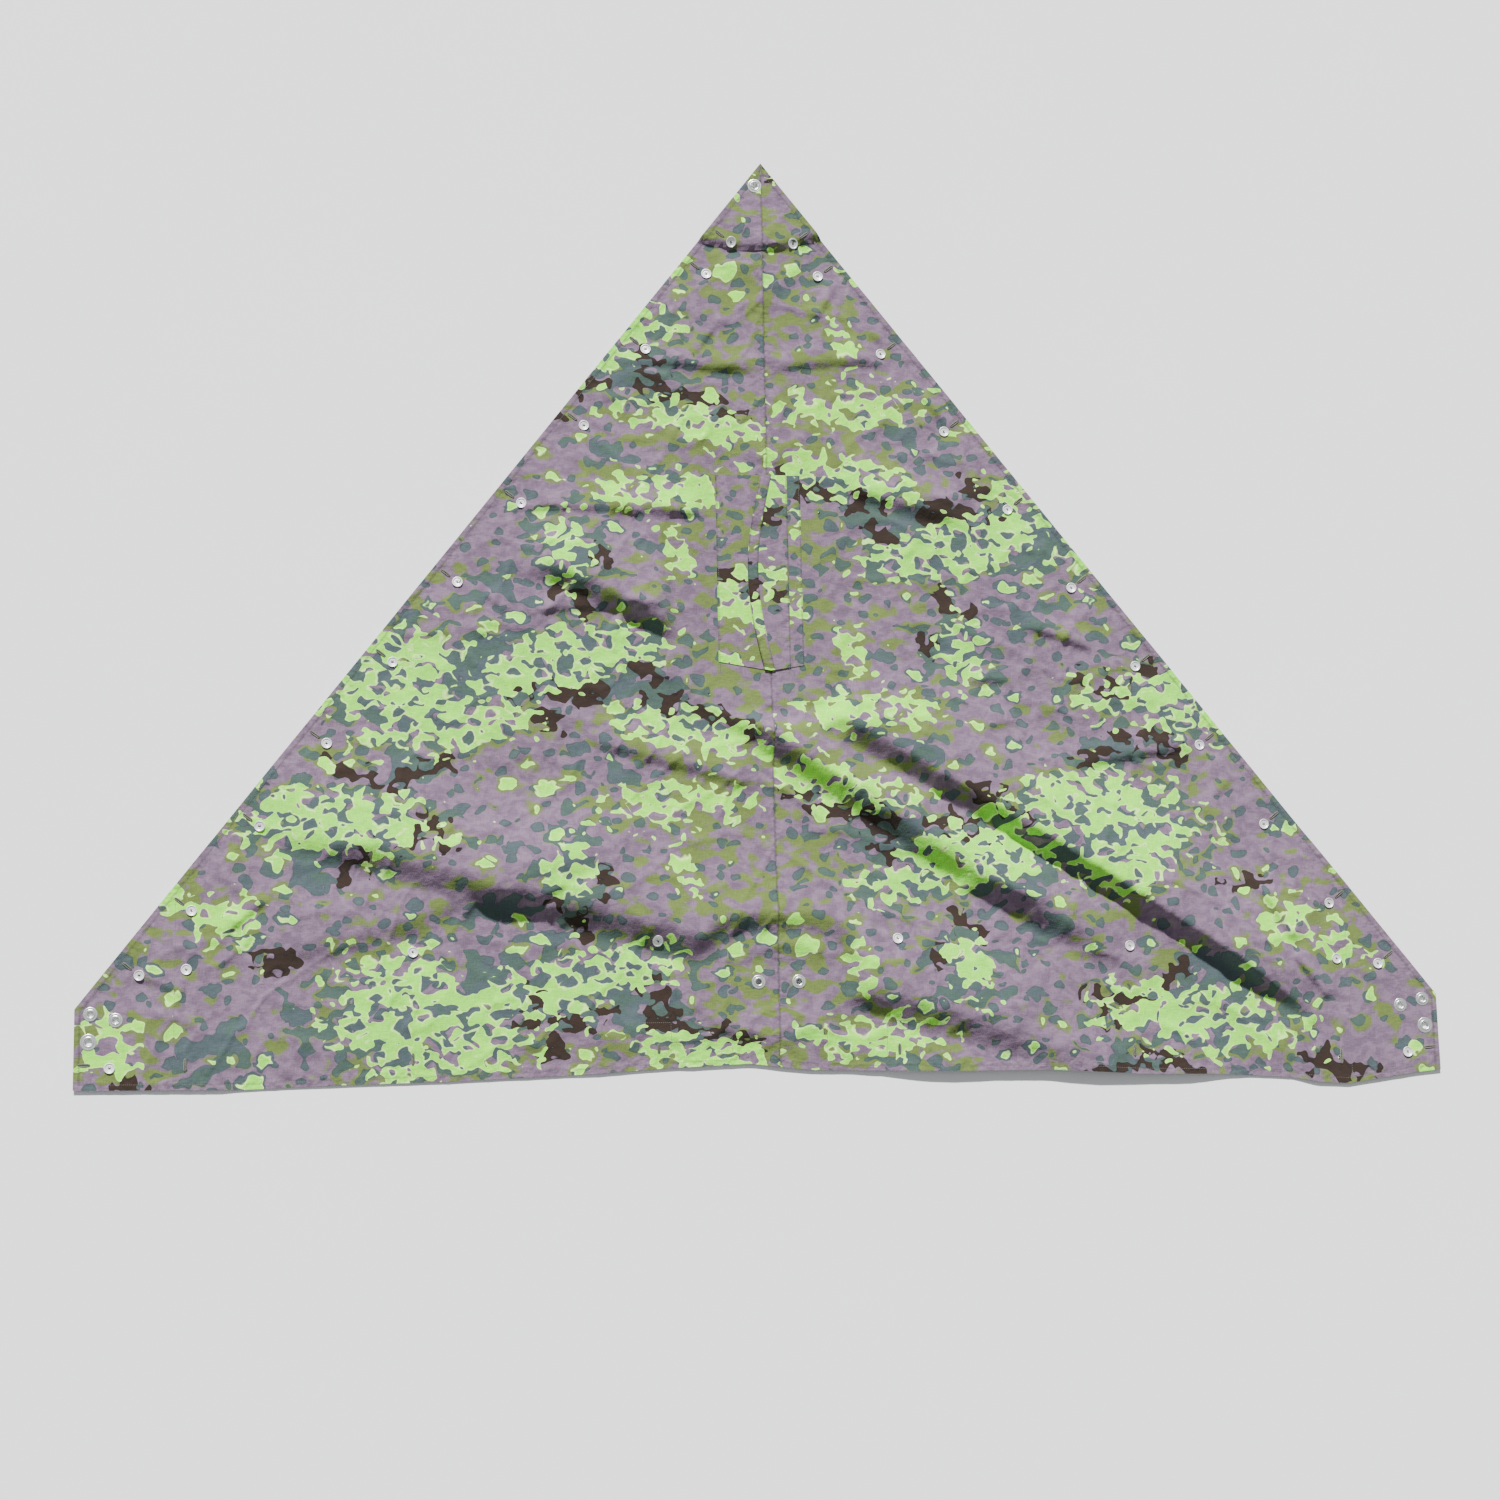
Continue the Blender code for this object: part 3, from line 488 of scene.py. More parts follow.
def spots(tree, place, across, up, seed):
    """Cells of a scattered net: distance from each one's middle, and three random shares of the cell."""
    wires = {"Vector": stretched(tree, place, across, up, seed), "Scale": 1.0}
    made = add_node(tree, "TexVoronoi", wires, voronoi_dimensions="2D")
    split = add_node(tree, "SeparateColor", {"Color": made.outputs["Color"]})
    return made.outputs["Distance"], split.outputs[0], split.outputs[1], split.outputs[2]


INKS = {
    "mauve": linear(122, 102, 121), "deep mauve": linear(96, 78, 98), LIME: linear(152, 242, 68),
    SLATE: linear(60, 80, 80), OLIVE: linear(98, 114, 58), BROWN: linear(46, 34, 26),
}


def printed_cotton(name, fade):
    """Printed drill: inks laid in turn where their fields pass 0, edges roughened by noise, over a heathered
    weave. fade, from 0 to 1, pales the print, as on the reverse of the cloth."""
    look, tree, shader = new_look(name)
    flat = add_node(tree, "UVMap", uv_map="print").outputs[0]
    stir = add_node(tree, "TexNoise", {"Vector": flat, "Scale": 30.0, "Detail": 1.0}, noise_dimensions="2D")
    centred = add_node(tree, "VectorMath", {0: stir.outputs["Color"], 1: (0.5, 0.5, 0.5)},
                       operation="SUBTRACT")
    moved = add_node(tree, "VectorMath", {0: centred.outputs[0], "Scale": 0.022}, operation="SCALE")
    place = add_node(tree, "VectorMath", {0: flat, 1: moved.outputs[0]}, operation="ADD").outputs[0]
    fields = {ink: add_node(tree, "Attribute", attribute_name=ink).outputs["Fac"]
              for ink in (LIME, SLATE, OLIVE, BROWN)}
    jag = mottle(tree, place, 74, 92, 3, 0.0)

    # Lime clusters, broken by fingers of the ground and by holes
    lobes = mottle(tree, place, 38, 54, 1, 0.0)
    streaks = mottle(tree, place, 12, 28, 2, 0.0)
    lime = calc(tree, "MINIMUM", fields[LIME], 0.0105)
    lime = calc(tree, "MULTIPLY_ADD", lobes, 0.018, lime)
    lime = calc(tree, "MULTIPLY_ADD", streaks, 0.008, lime)
    lime = calc(tree, "MULTIPLY_ADD", jag, 0.0068, lime)
    hole, hole_size, *_ = spots(tree, place, 24, 34, 5)
    hole_edge = calc(tree, "MULTIPLY_ADD", hole_size, 0.40, 0.02)
    hole_gap = calc(tree, "MULTIPLY", calc(tree, "SUBTRACT", hole, hole_edge), 0.030)
    hole_gap = calc(tree, "MULTIPLY_ADD", jag, 0.0016, hole_gap)
    lime = calc(tree, "MINIMUM", lime, hole_gap)

    # Scattered spots: some lime with an olive or slate halo, some plain olive or slate
    spot, spot_size, spot_kind, spot_halo = spots(tree, place, 15, 21, 8)
    spot_edge = calc(tree, "MULTIPLY_ADD", spot_size, 0.20, 0.10)
    spot_gap = calc(tree, "MULTIPLY", calc(tree, "SUBTRACT", spot_edge, spot), 0.055)
    crowd = mottle(tree, place, 8, 11, 12, 1.0)
    spot_gap = calc(tree, "MULTIPLY_ADD", jag, 0.0032, spot_gap)
    spot_gap = calc(tree, "ADD", spot_gap, calc(tree, "MULTIPLY_ADD", crowd, 0.010, -0.0065))
    is_lime = calc(tree, "GREATER_THAN", spot_kind, 0.40)
    lime_spot = calc(tree, "SUBTRACT", spot_gap, calc(tree, "MULTIPLY_ADD", is_lime, -0.1, 0.1))
    halo = calc(tree, "ADD", spot_gap, 0.0065)
    is_slate = calc(tree, "GREATER_THAN", spot_halo, 0.62)
    olive_halo = calc(tree, "SUBTRACT", halo, calc(tree, "MULTIPLY", is_slate, 0.1))
    slate_halo = calc(tree, "SUBTRACT", halo, calc(tree, "MULTIPLY_ADD", is_slate, -0.1, 0.1))
    dot, dot_size, dot_kind, _ = spots(tree, place, 23, 29, 13)
    dot_edge = calc(tree, "MULTIPLY_ADD", dot_size, 0.16, 0.14)
    dot_gap = calc(tree, "MULTIPLY", calc(tree, "SUBTRACT", dot_edge, dot), 0.040)
    dot_gap = calc(tree, "MULTIPLY_ADD", jag, 0.0010, dot_gap)
    dot_off = calc(tree, "MULTIPLY", calc(tree, "GREATER_THAN", dot_kind, 0.62), 0.1)
    slate_dot = calc(tree, "SUBTRACT", dot_gap, dot_off)

    # Olive, slate and brown, clipped so that only their edges wander
    soft_edge = mottle(tree, place, 30, 42, 21, 0.0)
    olive = calc(tree, "MULTIPLY_ADD", soft_edge, 0.012, fields[OLIVE])
    olive = calc(tree, "MAXIMUM", olive, olive_halo)
    slate = calc(tree, "MINIMUM", fields[SLATE], 0.012)
    slate = calc(tree, "MULTIPLY_ADD", soft_edge, 0.018, slate)
    slate = calc(tree, "MAXIMUM", slate, calc(tree, "MAXIMUM", slate_halo, slate_dot))
    brown = calc(tree, "MINIMUM", fields[BROWN], 0.012)
    brown = calc(tree, "MULTIPLY_ADD", mottle(tree, place, 36, 46, 17, 0.0), 0.013, brown)
    brown = calc(tree, "MULTIPLY_ADD", jag, 0.0030, brown)
    brown = calc(tree, "MINIMUM", brown, hole_gap)
    lime_all = calc(tree, "MAXIMUM", lime, lime_spot)

    # The inks over one another, each with a darker or paler rim
    cloud = inside(tree, mottle(tree, place, 48, 70, 27), 0.55)
    ground = over(tree, calc(tree, "MULTIPLY", cloud, 0.6), INKS["mauve"], INKS["deep mauve"])
    color = over(tree, inside(tree, olive, 0.0045), ground, INKS[OLIVE])
    slate_tone = over(tree, blotch_rim(tree, slate, 0.0020, 0.0008), INKS[SLATE], dimmed(INKS[SLATE], 0.72))
    color = over(tree, calc(tree, "MULTIPLY", inside(tree, slate, 0.0009), 0.88), color, slate_tone)
    brown_rim = calc(tree, "MULTIPLY", blotch_rim(tree, brown, 0.0022, 0.0008), 0.6)
    brown_tone = over(tree, brown_rim, INKS[BROWN], linear(26, 20, 16))
    color = over(tree, inside(tree, brown, 0.0008), color, brown_tone)
    overprint = calc(tree, "MULTIPLY", inside(tree, slate, 0.0010), 0.20)
    lime_tone = over(tree, overprint, INKS[LIME], linear(100, 190, 80))
    lime_rim = calc(tree, "MULTIPLY", blotch_rim(tree, lime_all, 0.0026, 0.0009), 0.75)
    lime_tone = over(tree, lime_rim, lime_tone, linear(214, 252, 150))
    thin = inside(tree, mottle(tree, place, 60, 85, 51), 0.7)
    lime_tone = over(tree, calc(tree, "MULTIPLY", thin, 0.28), lime_tone, linear(120, 214, 66))
    color = over(tree, inside(tree, lime_all, 0.0008), color, lime_tone)

    # Weave: streaked threads both ways, worn and washed unevenly, with painted shade along seams and edges
    warp = mottle(tree, flat, 900, 60, 31, 0.0)
    weft = mottle(tree, flat, 60, 900, 33, 0.0)
    wash = mottle(tree, flat, 9, 9, 35, 3.0)
    speckle = calc(tree, "ADD", calc(tree, "MULTIPLY", warp, 0.075), calc(tree, "MULTIPLY", weft, 0.075))
    tone = calc(tree, "ADD", calc(tree, "MULTIPLY_ADD", wash, 0.05, 1.0), speckle)
    sewn = add_node(tree, "Attribute", attribute_name="sewn").outputs["Fac"]
    # Painted shade: a band up to a third darker along the middle seam, the hem's stitch line and flap edges
    seam_shade = inside(tree, calc(tree, "SUBTRACT", 0.0022, sewn), 0.0014)
    tone = calc(tree, "MULTIPLY_ADD", seam_shade, -0.32, tone)
    shaded = add_node(tree, "VectorMath", {0: color, "Scale": tone}, operation="SCALE").outputs[0]
    tree.links.new(over(tree, fade, shaded, linear(150, 146, 142)), shader.inputs["Base Color"])

    ribbed = {"Vector": stretched(tree, flat, 1, 0.45, 0), "Scale": 170.0, "Distortion": 0.6}
    ribs = add_node(tree, "TexWave", ribbed,
                    wave_type="BANDS", bands_direction="DIAGONAL", wave_profile="SIN")
    height = calc(tree, "MULTIPLY_ADD", ribs.outputs["Fac"], 0.5, calc(tree, "MULTIPLY", speckle, 1.5))
    crumple = add_node(tree, "TexNoise", {"Vector": flat, "Scale": 42.0, "Detail": 5.0, "Roughness": 0.62},
                       noise_dimensions="2D")
    height = calc(tree, "MULTIPLY_ADD", crumple.outputs["Fac"], 13.0, height)
    near_seam = add_node(tree, "MapRange", {"Value": sewn, "From Min": 0.022, "From Max": 0.002}).outputs[0]
    drawn = mottle(tree, flat, 75, 75, 41, 1.0)
    height = calc(tree, "ADD", height, calc(tree, "MULTIPLY", calc(tree, "MULTIPLY", drawn, near_seam), 4.5))
    bump = add_node(tree, "Bump", {"Height": height, "Strength": 0.5, "Distance": 0.00035})
    tree.links.new(bump.outputs[0], shader.inputs["Normal"])
    rough = add_node(tree, "MapRange", {"Value": crumple.outputs["Fac"], "To Min": 0.82, "To Max": 0.96})
    tree.links.new(rough.outputs[0], shader.inputs["Roughness"])
    shader.inputs["Sheen Weight"].default_value = 0.12
    shader.inputs["Sheen Roughness"].default_value = 0.6
    shader.inputs["Specular IOR Level"].default_value = 0.25
    return look


print_side = printed_cotton("printed_cotton", 0.0)
plain_side = printed_cotton("printed_cotton_reverse", 0.62)

COLUMNS = 270  # squares from the seam to a corner
SEAM_GAP = 0.00015  # each half to the middle line
SLIT_DRAW = 0.030  # cloth beside the slit that gives way when it gapes
EYELET_CLEAR = 0.0072  # an eyelet's middle to the cloth round it
HEM_WIDTH = 0.011
HEM_LINE = 0.0095  # its stitching to the edge
HEM_RISE = 0.0007


def clear_of_eyelets(x, y):
    """Which points stay outside the eyelets' holes in the cloth."""
    away = np.hypot(x[:, None] - eyelet_places[:, 0], y[:, None] - eyelet_places[:, 1])
    return away.min(axis=1) > EYELET_CLEAR


def panel_cloth(name, sign):
    """Half of the sheet. Rows run out from the seam; above the corner each row is one square shorter, so
    the last points lie on the sloping edge. The seam edge stands back along the slit in a half sine."""
    low_rows = round(CORNER_CUT / ((RISE - CORNER_CUT) / COLUMNS))
    row = np.arange(low_rows + COLUMNS + 1)[:, None]
    column = np.arange(COLUMNS + 1)[None, :]
    upper = (RISE - CORNER_CUT) / COLUMNS * (row - low_rows)
    up = np.where(row <= low_rows, CORNER_CUT / low_rows * row, CORNER_CUT + upper)
    wide = np.broadcast_to(BASE / 2 / COLUMNS * column, (row.size, column.size))
    up = np.broadcast_to(up, wide.shape)
    there = column <= COLUMNS - np.maximum(row - low_rows, 0)
    grid = np.where(there, np.cumsum(there).reshape(there.shape) - 1, -1)
    along_slit = np.clip((up - SLIT_LOW) / (SLIT_TOP - SLIT_LOW), 0, 1)
    opened = SEAM_GAP + SLIT_HALF * np.sin(math.pi * along_slit) * (1 - s_curve(wide / SLIT_DRAW))
    x, y = (sign * (wide + opened * (wide < SLIT_DRAW)))[there], up[there]
    kept = clear_of_eyelets(x, y)
    z = lie(x, y)
    hem = edge_gap(x, y)
    folded = HEM_RISE * (1 - s_curve((hem - HEM_WIDTH) / 0.004))
    off_slit = 1 - in_zone(x, y, 0, 0, SLIT_LOW, SLIT_TOP, 0.012)
    felled = 0.0008 * (1 - s_curve((abs(x) - 0.008) / 0.003)) * off_slit
    low = laid(x, y, z)
    high = low + np.stack([0 * z, 0 * z, CLOTH + np.maximum(folded, felled)], -1)
    place = np.stack([x, y], -1) if sign < 0 else np.stack([-0.019 - x, 1.158 + REPEAT - y], -1)
    gap = np.minimum(abs(x), abs(hem - HEM_LINE))
    piece = close_sheet(name, low, high, grid, kept, place, gap, (print_side, plain_side))
    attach(piece, "sheet")
    return piece


left_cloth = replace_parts(panel_cloth("left_cloth", -1), "left_panel")
right_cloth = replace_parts(panel_cloth("right_cloth", 1), "right_panel")


# ---- Doubling patches ----
# The same cotton, print side down, sewn under the corners, the apex, the base eyelets and two buttonholes.
# Only their stitching shows from above.

PATCH_CLOTH = 0.0008
PATCH_GAP = 0.0003  # a patch to the panel over it
PATCH_INSET = 0.012


def side_line(x, inset):
    """Height of the line inset inside the right-hand sloping edge."""
    return RISE - SLOPE * x - inset * math.hypot(1, SLOPE)


def patch_cloth(name, node, low_x, high_x, low_y, top, apart):
    """Patch between two x values, from low_y up to the line top(x), a small gap under the panels."""
    across, up = np.meshgrid(np.linspace(0, 1, 36), np.linspace(0, 1, 40))
    x = low_x + (high_x - low_x) * across
    y = low_y + (top(x) - low_y) * up
    grid = np.arange(x.size).reshape(x.shape)
    x, y = x.ravel(), y.ravel()
    low = laid(x, y, np.maximum(lie(x, y) - PATCH_GAP - PATCH_CLOTH, 0.0))
    place = np.stack([x + apart, y], -1)
    far = np.full(x.size, 1.0)
    high, kept = low + (0, 0, PATCH_CLOTH), clear_of_eyelets(x, y)
    piece = close_sheet(name, low, high, grid, kept, place, far, (plain_side, print_side))
    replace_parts(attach(piece, "sheet"), node)
    return piece


def level(height):
    """Top of a patch that is cut square."""
    return lambda x: height + 0 * x


def slanted(x):
    """Top of a patch that follows the sloping edges."""
    return side_line(abs(x), PATCH_INSET)


CORNER_PATCH = 0.175  # the corner cut to the patch's inner edge
APEX_LOW = RISE - 0.110
apex_half = (RISE - PATCH_INSET * math.hypot(1, SLOPE) - APEX_LOW) / SLOPE
patches = [
    patch_cloth("base_doubling", "patch_base", -0.090, 0.090, PATCH_INSET, level(0.225), 0.4),
    patch_cloth("left_hole_doubling", "patch_left_buttonhole", -0.280, -0.195, PATCH_INSET, level(0.1), 0.2),
    patch_cloth("right_hole_doubling", "patch_right_buttonhole",
                0.195, 0.280, PATCH_INSET, level(0.1), -0.6),
    patch_cloth("apex_doubling", "patch_apex",
                -apex_half + 0.0005, apex_half - 0.0005, APEX_LOW, slanted, 0.1),
    patch_cloth("left_corner_doubling", "patch_left_corner",
                -BASE / 2 + PATCH_INSET, -BASE / 2 + CORNER_PATCH, PATCH_INSET, slanted, 0.3),
    patch_cloth("right_corner_doubling", "patch_right_corner",
                BASE / 2 - CORNER_PATCH, BASE / 2 - PATCH_INSET, PATCH_INSET, slanted, -2.0),
]


# ---- Neck flaps ----
# Two strips of the printed cotton over the slit: the inner one sewn down on the left, the outer one on the
# right with a doubled strip under its root and a bound free edge. Each has its own place in the print.

FLAP_LOW, FLAP_TOP = SLIT_LOW - 0.012, SLIT_TOP + 0.012
FLAP_CLOTH = 0.0010
FLAP_BOW = 0.028
BINDING_WIDTH = 0.020


def flap_cloth(name, node, body, sides, lift, offset, cells, thickness=FLAP_CLOTH):
    """Flap between two edges given as functions of the share of its length, its underside following lift."""
    across, share = np.meshgrid(np.linspace(0, 1, cells[0]), np.linspace(0, 1, cells[1]))
    across, share = across.ravel(), share.ravel()
    left, right = sides(share)
    x = left + (right - left) * across
    y = FLAP_LOW + (FLAP_TOP - FLAP_LOW) * share + 0.17 * abs(x) * (1 - s_curve(share / 0.08))
    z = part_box(node)[0].z + lift(across, share)
    low = np.stack([x, y - RISE / 2, z], -1)
    place = np.stack([x + offset[0], y + offset[1]], -1)
    grid = np.arange(x.size).reshape(cells[1], cells[0])
    gap = np.minimum(abs(x - left), abs(right - x))
    kept = np.ones(x.size, bool)
    piece = close_sheet(name, low, low + (0, 0, thickness), grid, kept, place, gap, (print_side, plain_side))
    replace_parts(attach(piece, body), node)
    return piece


def bowed(share):
    """Free edge of the outer flap: it reaches 12 mm past the seam at its ends and 40 mm in the middle."""
    return -0.012 - FLAP_BOW * np.sin(math.pi * share)


def straight(left, right):
    """Edges of a strip that run straight up the sheet."""
    return lambda share: (left + 0 * share, right + 0 * share)


def strip_lift(across, share):
    """Slight unevenness of the strip that is sewn down flat: a swell of 0.06 mm."""
    return 0.00006 * swell(across, share * 20, 1.0, 41)


def inner_lift(across, share):
    """Lift of the inner flap: a swell of up to 0.24 mm, fading in a half sine to none at its ends."""
    return 0.00012 * (1 + swell(across * 3, share * 14, 1.0, 42)) * np.sin(math.pi * share)


def open_edge(across, share):
    """Lift of the outer flap's free edge: it gapes near both ends and lies nearly shut in its middle."""
    low_gape = s_curve(share / 0.10) * s_curve((0.34 - share) / 0.14)
    gape = low_gape + s_curve((share - 0.70) / 0.08) * s_curve((1 - share) / 0.06)
    return (1 - across) ** 2 * (0.0008 + 0.0050 * gape) * (1.1 + 0.4 * swell(across, share * 9, 1.0, 43))


def binding_lift(across, share):
    """Lift of the binding, which covers the outermost part of that edge."""
    return open_edge(across * 0.30, share)


facing = flap_cloth("neck_strip", "neck_facing", "sheet", straight(0.0300, 0.0625), strip_lift,
                    (-0.30, 0.21), (12, 90))
inner_flap = flap_cloth("inner_flap_cloth", "inner_flap", "inner_flap", straight(-0.0975, -0.004),
                        inner_lift, (-0.05, 0.34), (28, 110))
outer_flap = flap_cloth("outer_flap_cloth", "outer_flap", "outer_flap", lambda s: (bowed(s), 0.0375 + 0 * s),
                        open_edge, (-0.62, 0.13), (28, 110))
binding = flap_cloth("flap_edge_binding", "flap_binding", "outer_flap",
                     lambda s: (bowed(s), bowed(s) + BINDING_WIDTH), binding_lift, (-0.16, -0.22), (12, 110))


# ---- Stitching ----
# Grey-green cotton thread, machine sewn at about three stitches to the centimetre: twice along the middle
# seam, once along each hem, and round the patches and the neck.

def sewn_row(points, pitch=0.0036):
    """Stitch middles and directions, one each pitch along a line of (x, height) corners."""
    points = np.array(points, float)
    steps = np.hypot(*np.diff(points, axis=0).T)
    reach = np.concatenate([[0], np.cumsum(steps)])
    at = np.arange(pitch / 2, reach[-1], pitch)
    x, y = np.interp(at, reach, points[:, 0]), np.interp(at, reach, points[:, 1])
    part = np.clip(np.searchsorted(reach, at) - 1, 0, len(steps) - 1)
    way = np.diff(points, axis=0)[part] / steps[part][:, None]
    return x, y, way


thread_look, thread_tree, thread_shader = new_look("sewing_thread")
thread_place = add_node(thread_tree, "TexCoord").outputs["Object"]
thread_twist = add_node(thread_tree, "TexWave", {"Vector": thread_place, "Scale": 900.0},
                        bands_direction="DIAGONAL")
thread_age = add_node(thread_tree, "TexNoise", {"Vector": thread_place, "Scale": 25.0})
thread_tone = over(thread_tree, thread_age.outputs["Fac"], linear(92, 92, 84), linear(132, 130, 122))
thread_tree.links.new(thread_tone, thread_shader.inputs["Base Color"])
thread_bump = add_node(thread_tree, "Bump", {"Height": thread_twist.outputs["Fac"], "Distance": 0.0001})
thread_tree.links.new(thread_bump.outputs[0], thread_shader.inputs["Normal"])
thread_shader.inputs["Roughness"].default_value = 0.8

STITCH_FACES = np.array(
    [(0, 2, 1), (0, 3, 2), (0, 4, 3), (0, 1, 4)]
    + [(i, i % 4 + 1, i % 4 + 5) for i in range(1, 5)] + [(i, i % 4 + 5, i + 4) for i in range(1, 5)]
    + [(9, 5, 6), (9, 6, 7), (9, 7, 8), (9, 8, 5)])


def smooth_piece(name, points, faces, look):
    """Piece of smooth faces in one material, with its place in its mesh."""
    mesh = bpy.data.meshes.new(name)
    mesh.from_pydata(points.tolist(), [], faces)
    mesh.shade_smooth()
    mesh.materials.append(look)
    return put_in(name, mesh)


def stitches(name, rows, surface, body, length=0.0026, radius=0.00034):
    """Rows of stitches on a surface: each is a spindle of two square rings and two points, along the row."""
    x, y, way = (np.concatenate(part) for part in zip(*(sewn_row(row) for row in rows)))
    ends = []
    for end in (-0.5, 0.5):
        px, py = x + way[:, 0] * length * end, y + way[:, 1] * length * end
        ends.append(np.stack([*shifted(px, py), surface(px, py)], -1))
    middle, along = (ends[0] + ends[1]) / 2, ends[1] - ends[0]
    middle = middle + (0, -RISE / 2, radius * 0.25)
    side = np.stack([-way[:, 1], way[:, 0], 0 * x], -1) * radius
    rise = np.array((0, 0, radius * 0.8))
    ring = [side, 0 * side + rise, -side, 0 * side - rise]
    corners = [middle - along / 2] + [middle - along * 0.32 + r for r in ring]
    corners += [middle + along * 0.32 + r for r in ring] + [middle + along / 2]
    points = np.stack(corners, 1).reshape(-1, 3)
    faces = (STITCH_FACES[None] + 10 * np.arange(len(x))[:, None, None]).reshape(-1, 3)
    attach(smooth_piece(name, points, faces.tolist(), thread_look), body)


def panel_top(x, y):
    """Upper side of the panels."""
    return lie(x, y) + CLOTH


def hem_line(sign, inset):
    """Line inset along one half's base, corner and sloping edge, as (x, height) corners."""
    far = BASE / 2 - inset
    return [(sign * 0.006, inset), (sign * far, inset), (sign * far, side_line(far, inset)),
            (0, side_line(0, inset))]


def hem_top(x, y):
    """Upper side of the panels where the hem is folded over."""
    return panel_top(x, y) + HEM_RISE


def flat_top(height):
    """Surface at one height."""
    return lambda x, y: height + 0 * x


def patch_line(low_x, high_x, low_y, top):
    """Line round a square patch."""
    return [(low_x, low_y), (high_x, low_y), (high_x, top), (low_x, top), (low_x, low_y)]


seam_rows = [[(s, 0.006), (s, SLIT_LOW - 0.014)] for s in (-0.0035, 0.0035)]
seam_rows += [[(s, SLIT_TOP + 0.014), (s, RISE - 0.016)] for s in (-0.0035, 0.0035)]
stitches("seam_stitches", seam_rows, panel_top, "sheet")
stitches("left_hem_stitches", [hem_line(-1, HEM_LINE)], hem_top, "sheet")
stitches("right_hem_stitches", [hem_line(1, HEM_LINE)], hem_top, "sheet")
PATCH_LINE = 0.015  # outer line of the patches' stitching to the sheet's edge
patch_rows = [patch_line(-0.087, 0.087, PATCH_LINE, 0.222), patch_line(-0.277, -0.198, PATCH_LINE, 0.097),
              patch_line(0.198, 0.277, PATCH_LINE, 0.097)]
near = BASE / 2 - 0.172
for sign in (-1, 1):
    patch_rows.append([(sign * near, PATCH_LINE), (sign * near, side_line(near, PATCH_LINE))])
    patch_rows.append([(sign * 0.003, APEX_LOW + 0.003), (sign * (apex_half - 0.006), APEX_LOW + 0.003)])
stitches("patch_stitches", patch_rows, panel_top, "sheet")
NECK_TOP = 0.0023
stitches("inner_flap_stitches", [[(-0.0945, FLAP_LOW), (-0.0945, FLAP_TOP)]],
         flat_top(NECK_TOP + 0.0002), "inner_flap")
stitches("neck_strip_stitches", [[(0.0600, FLAP_LOW + 0.002), (0.0600, FLAP_TOP - 0.002)]],
         flat_top(NECK_TOP + 0.0001), "sheet")
stitches("outer_flap_stitches", [[(0.0350, FLAP_LOW + 0.002), (0.0350, FLAP_TOP - 0.002)]],
         flat_top(NECK_TOP + 0.0014), "outer_flap")


# ---- Buttonholes ----
# A slit worked round with close buttonhole stitch, in the same thread. It lies across the hem, square to the
# edge it serves, and stands a little above the cloth. The open slit's middle is painted dark as its shade.

HOLE_LENGTH = 0.022
HOLE_SWELL = 0.0030
BASE_HOLE_UP = 0.041
CORNER_HOLE_IN, CORNER_HOLE_UP = 0.018, 0.042
SIDE_HOLE_OUT = 0.027  # from its button towards the edge


def hole_places():
    """Middle and direction of each buttonhole: between each side button and the edge, and above the hem."""
    holes = []
    for name, (x, y, _) in zip(button_names, button_places):
        sign = math.copysign(1, x)
        if name.startswith("button_base"):
            holes.append((x, BASE_HOLE_UP, 0.0, 1.0))
        elif name.endswith("corner"):
            holes.append((sign * (BASE / 2 - CORNER_HOLE_IN), CORNER_HOLE_UP, 1.0, 0.0))
        else:
            out = np.array((sign * SLOPE, 1.0)) / math.hypot(1, SLOPE)
            holes.append((x + out[0] * SIDE_HOLE_OUT, y + out[1] * SIDE_HOLE_OUT, *out))
    return np.array(holes)


bead_look, bead_tree, bead_shader = new_look("buttonhole_thread")
bead_uv = add_node(bead_tree, "UVMap", uv_map="along").outputs[0]
bead_bars = add_node(bead_tree, "TexWave", {"Vector": stretched(bead_tree, bead_uv, 1, 0, 0), "Scale": 8.0})
bead_split = add_node(bead_tree, "SeparateXYZ", {"Vector": bead_uv})
# Painted shade: the slit's middle band is coloured near black, standing for the shade inside the open slit
slit_shade = calc(bead_tree, "LESS_THAN", calc(bead_tree, "ABSOLUTE", bead_split.outputs["Y"]), 0.20)
# Painted shade: the thread is darker in the grooves between the bars of its bump and lighter on their tops
bead_tone = over(bead_tree, bead_bars.outputs["Fac"], linear(88, 90, 80), linear(140, 140, 126))
bead_tone = over(bead_tree, slit_shade, bead_tone, linear(26, 24, 26))
bead_tree.links.new(bead_tone, bead_shader.inputs["Base Color"])
bead_bump = add_node(bead_tree, "Bump", {"Height": bead_bars.outputs["Fac"], "Distance": 0.0002})
bead_tree.links.new(bead_bump.outputs[0], bead_shader.inputs["Normal"])
bead_shader.inputs["Roughness"].default_value = 0.85


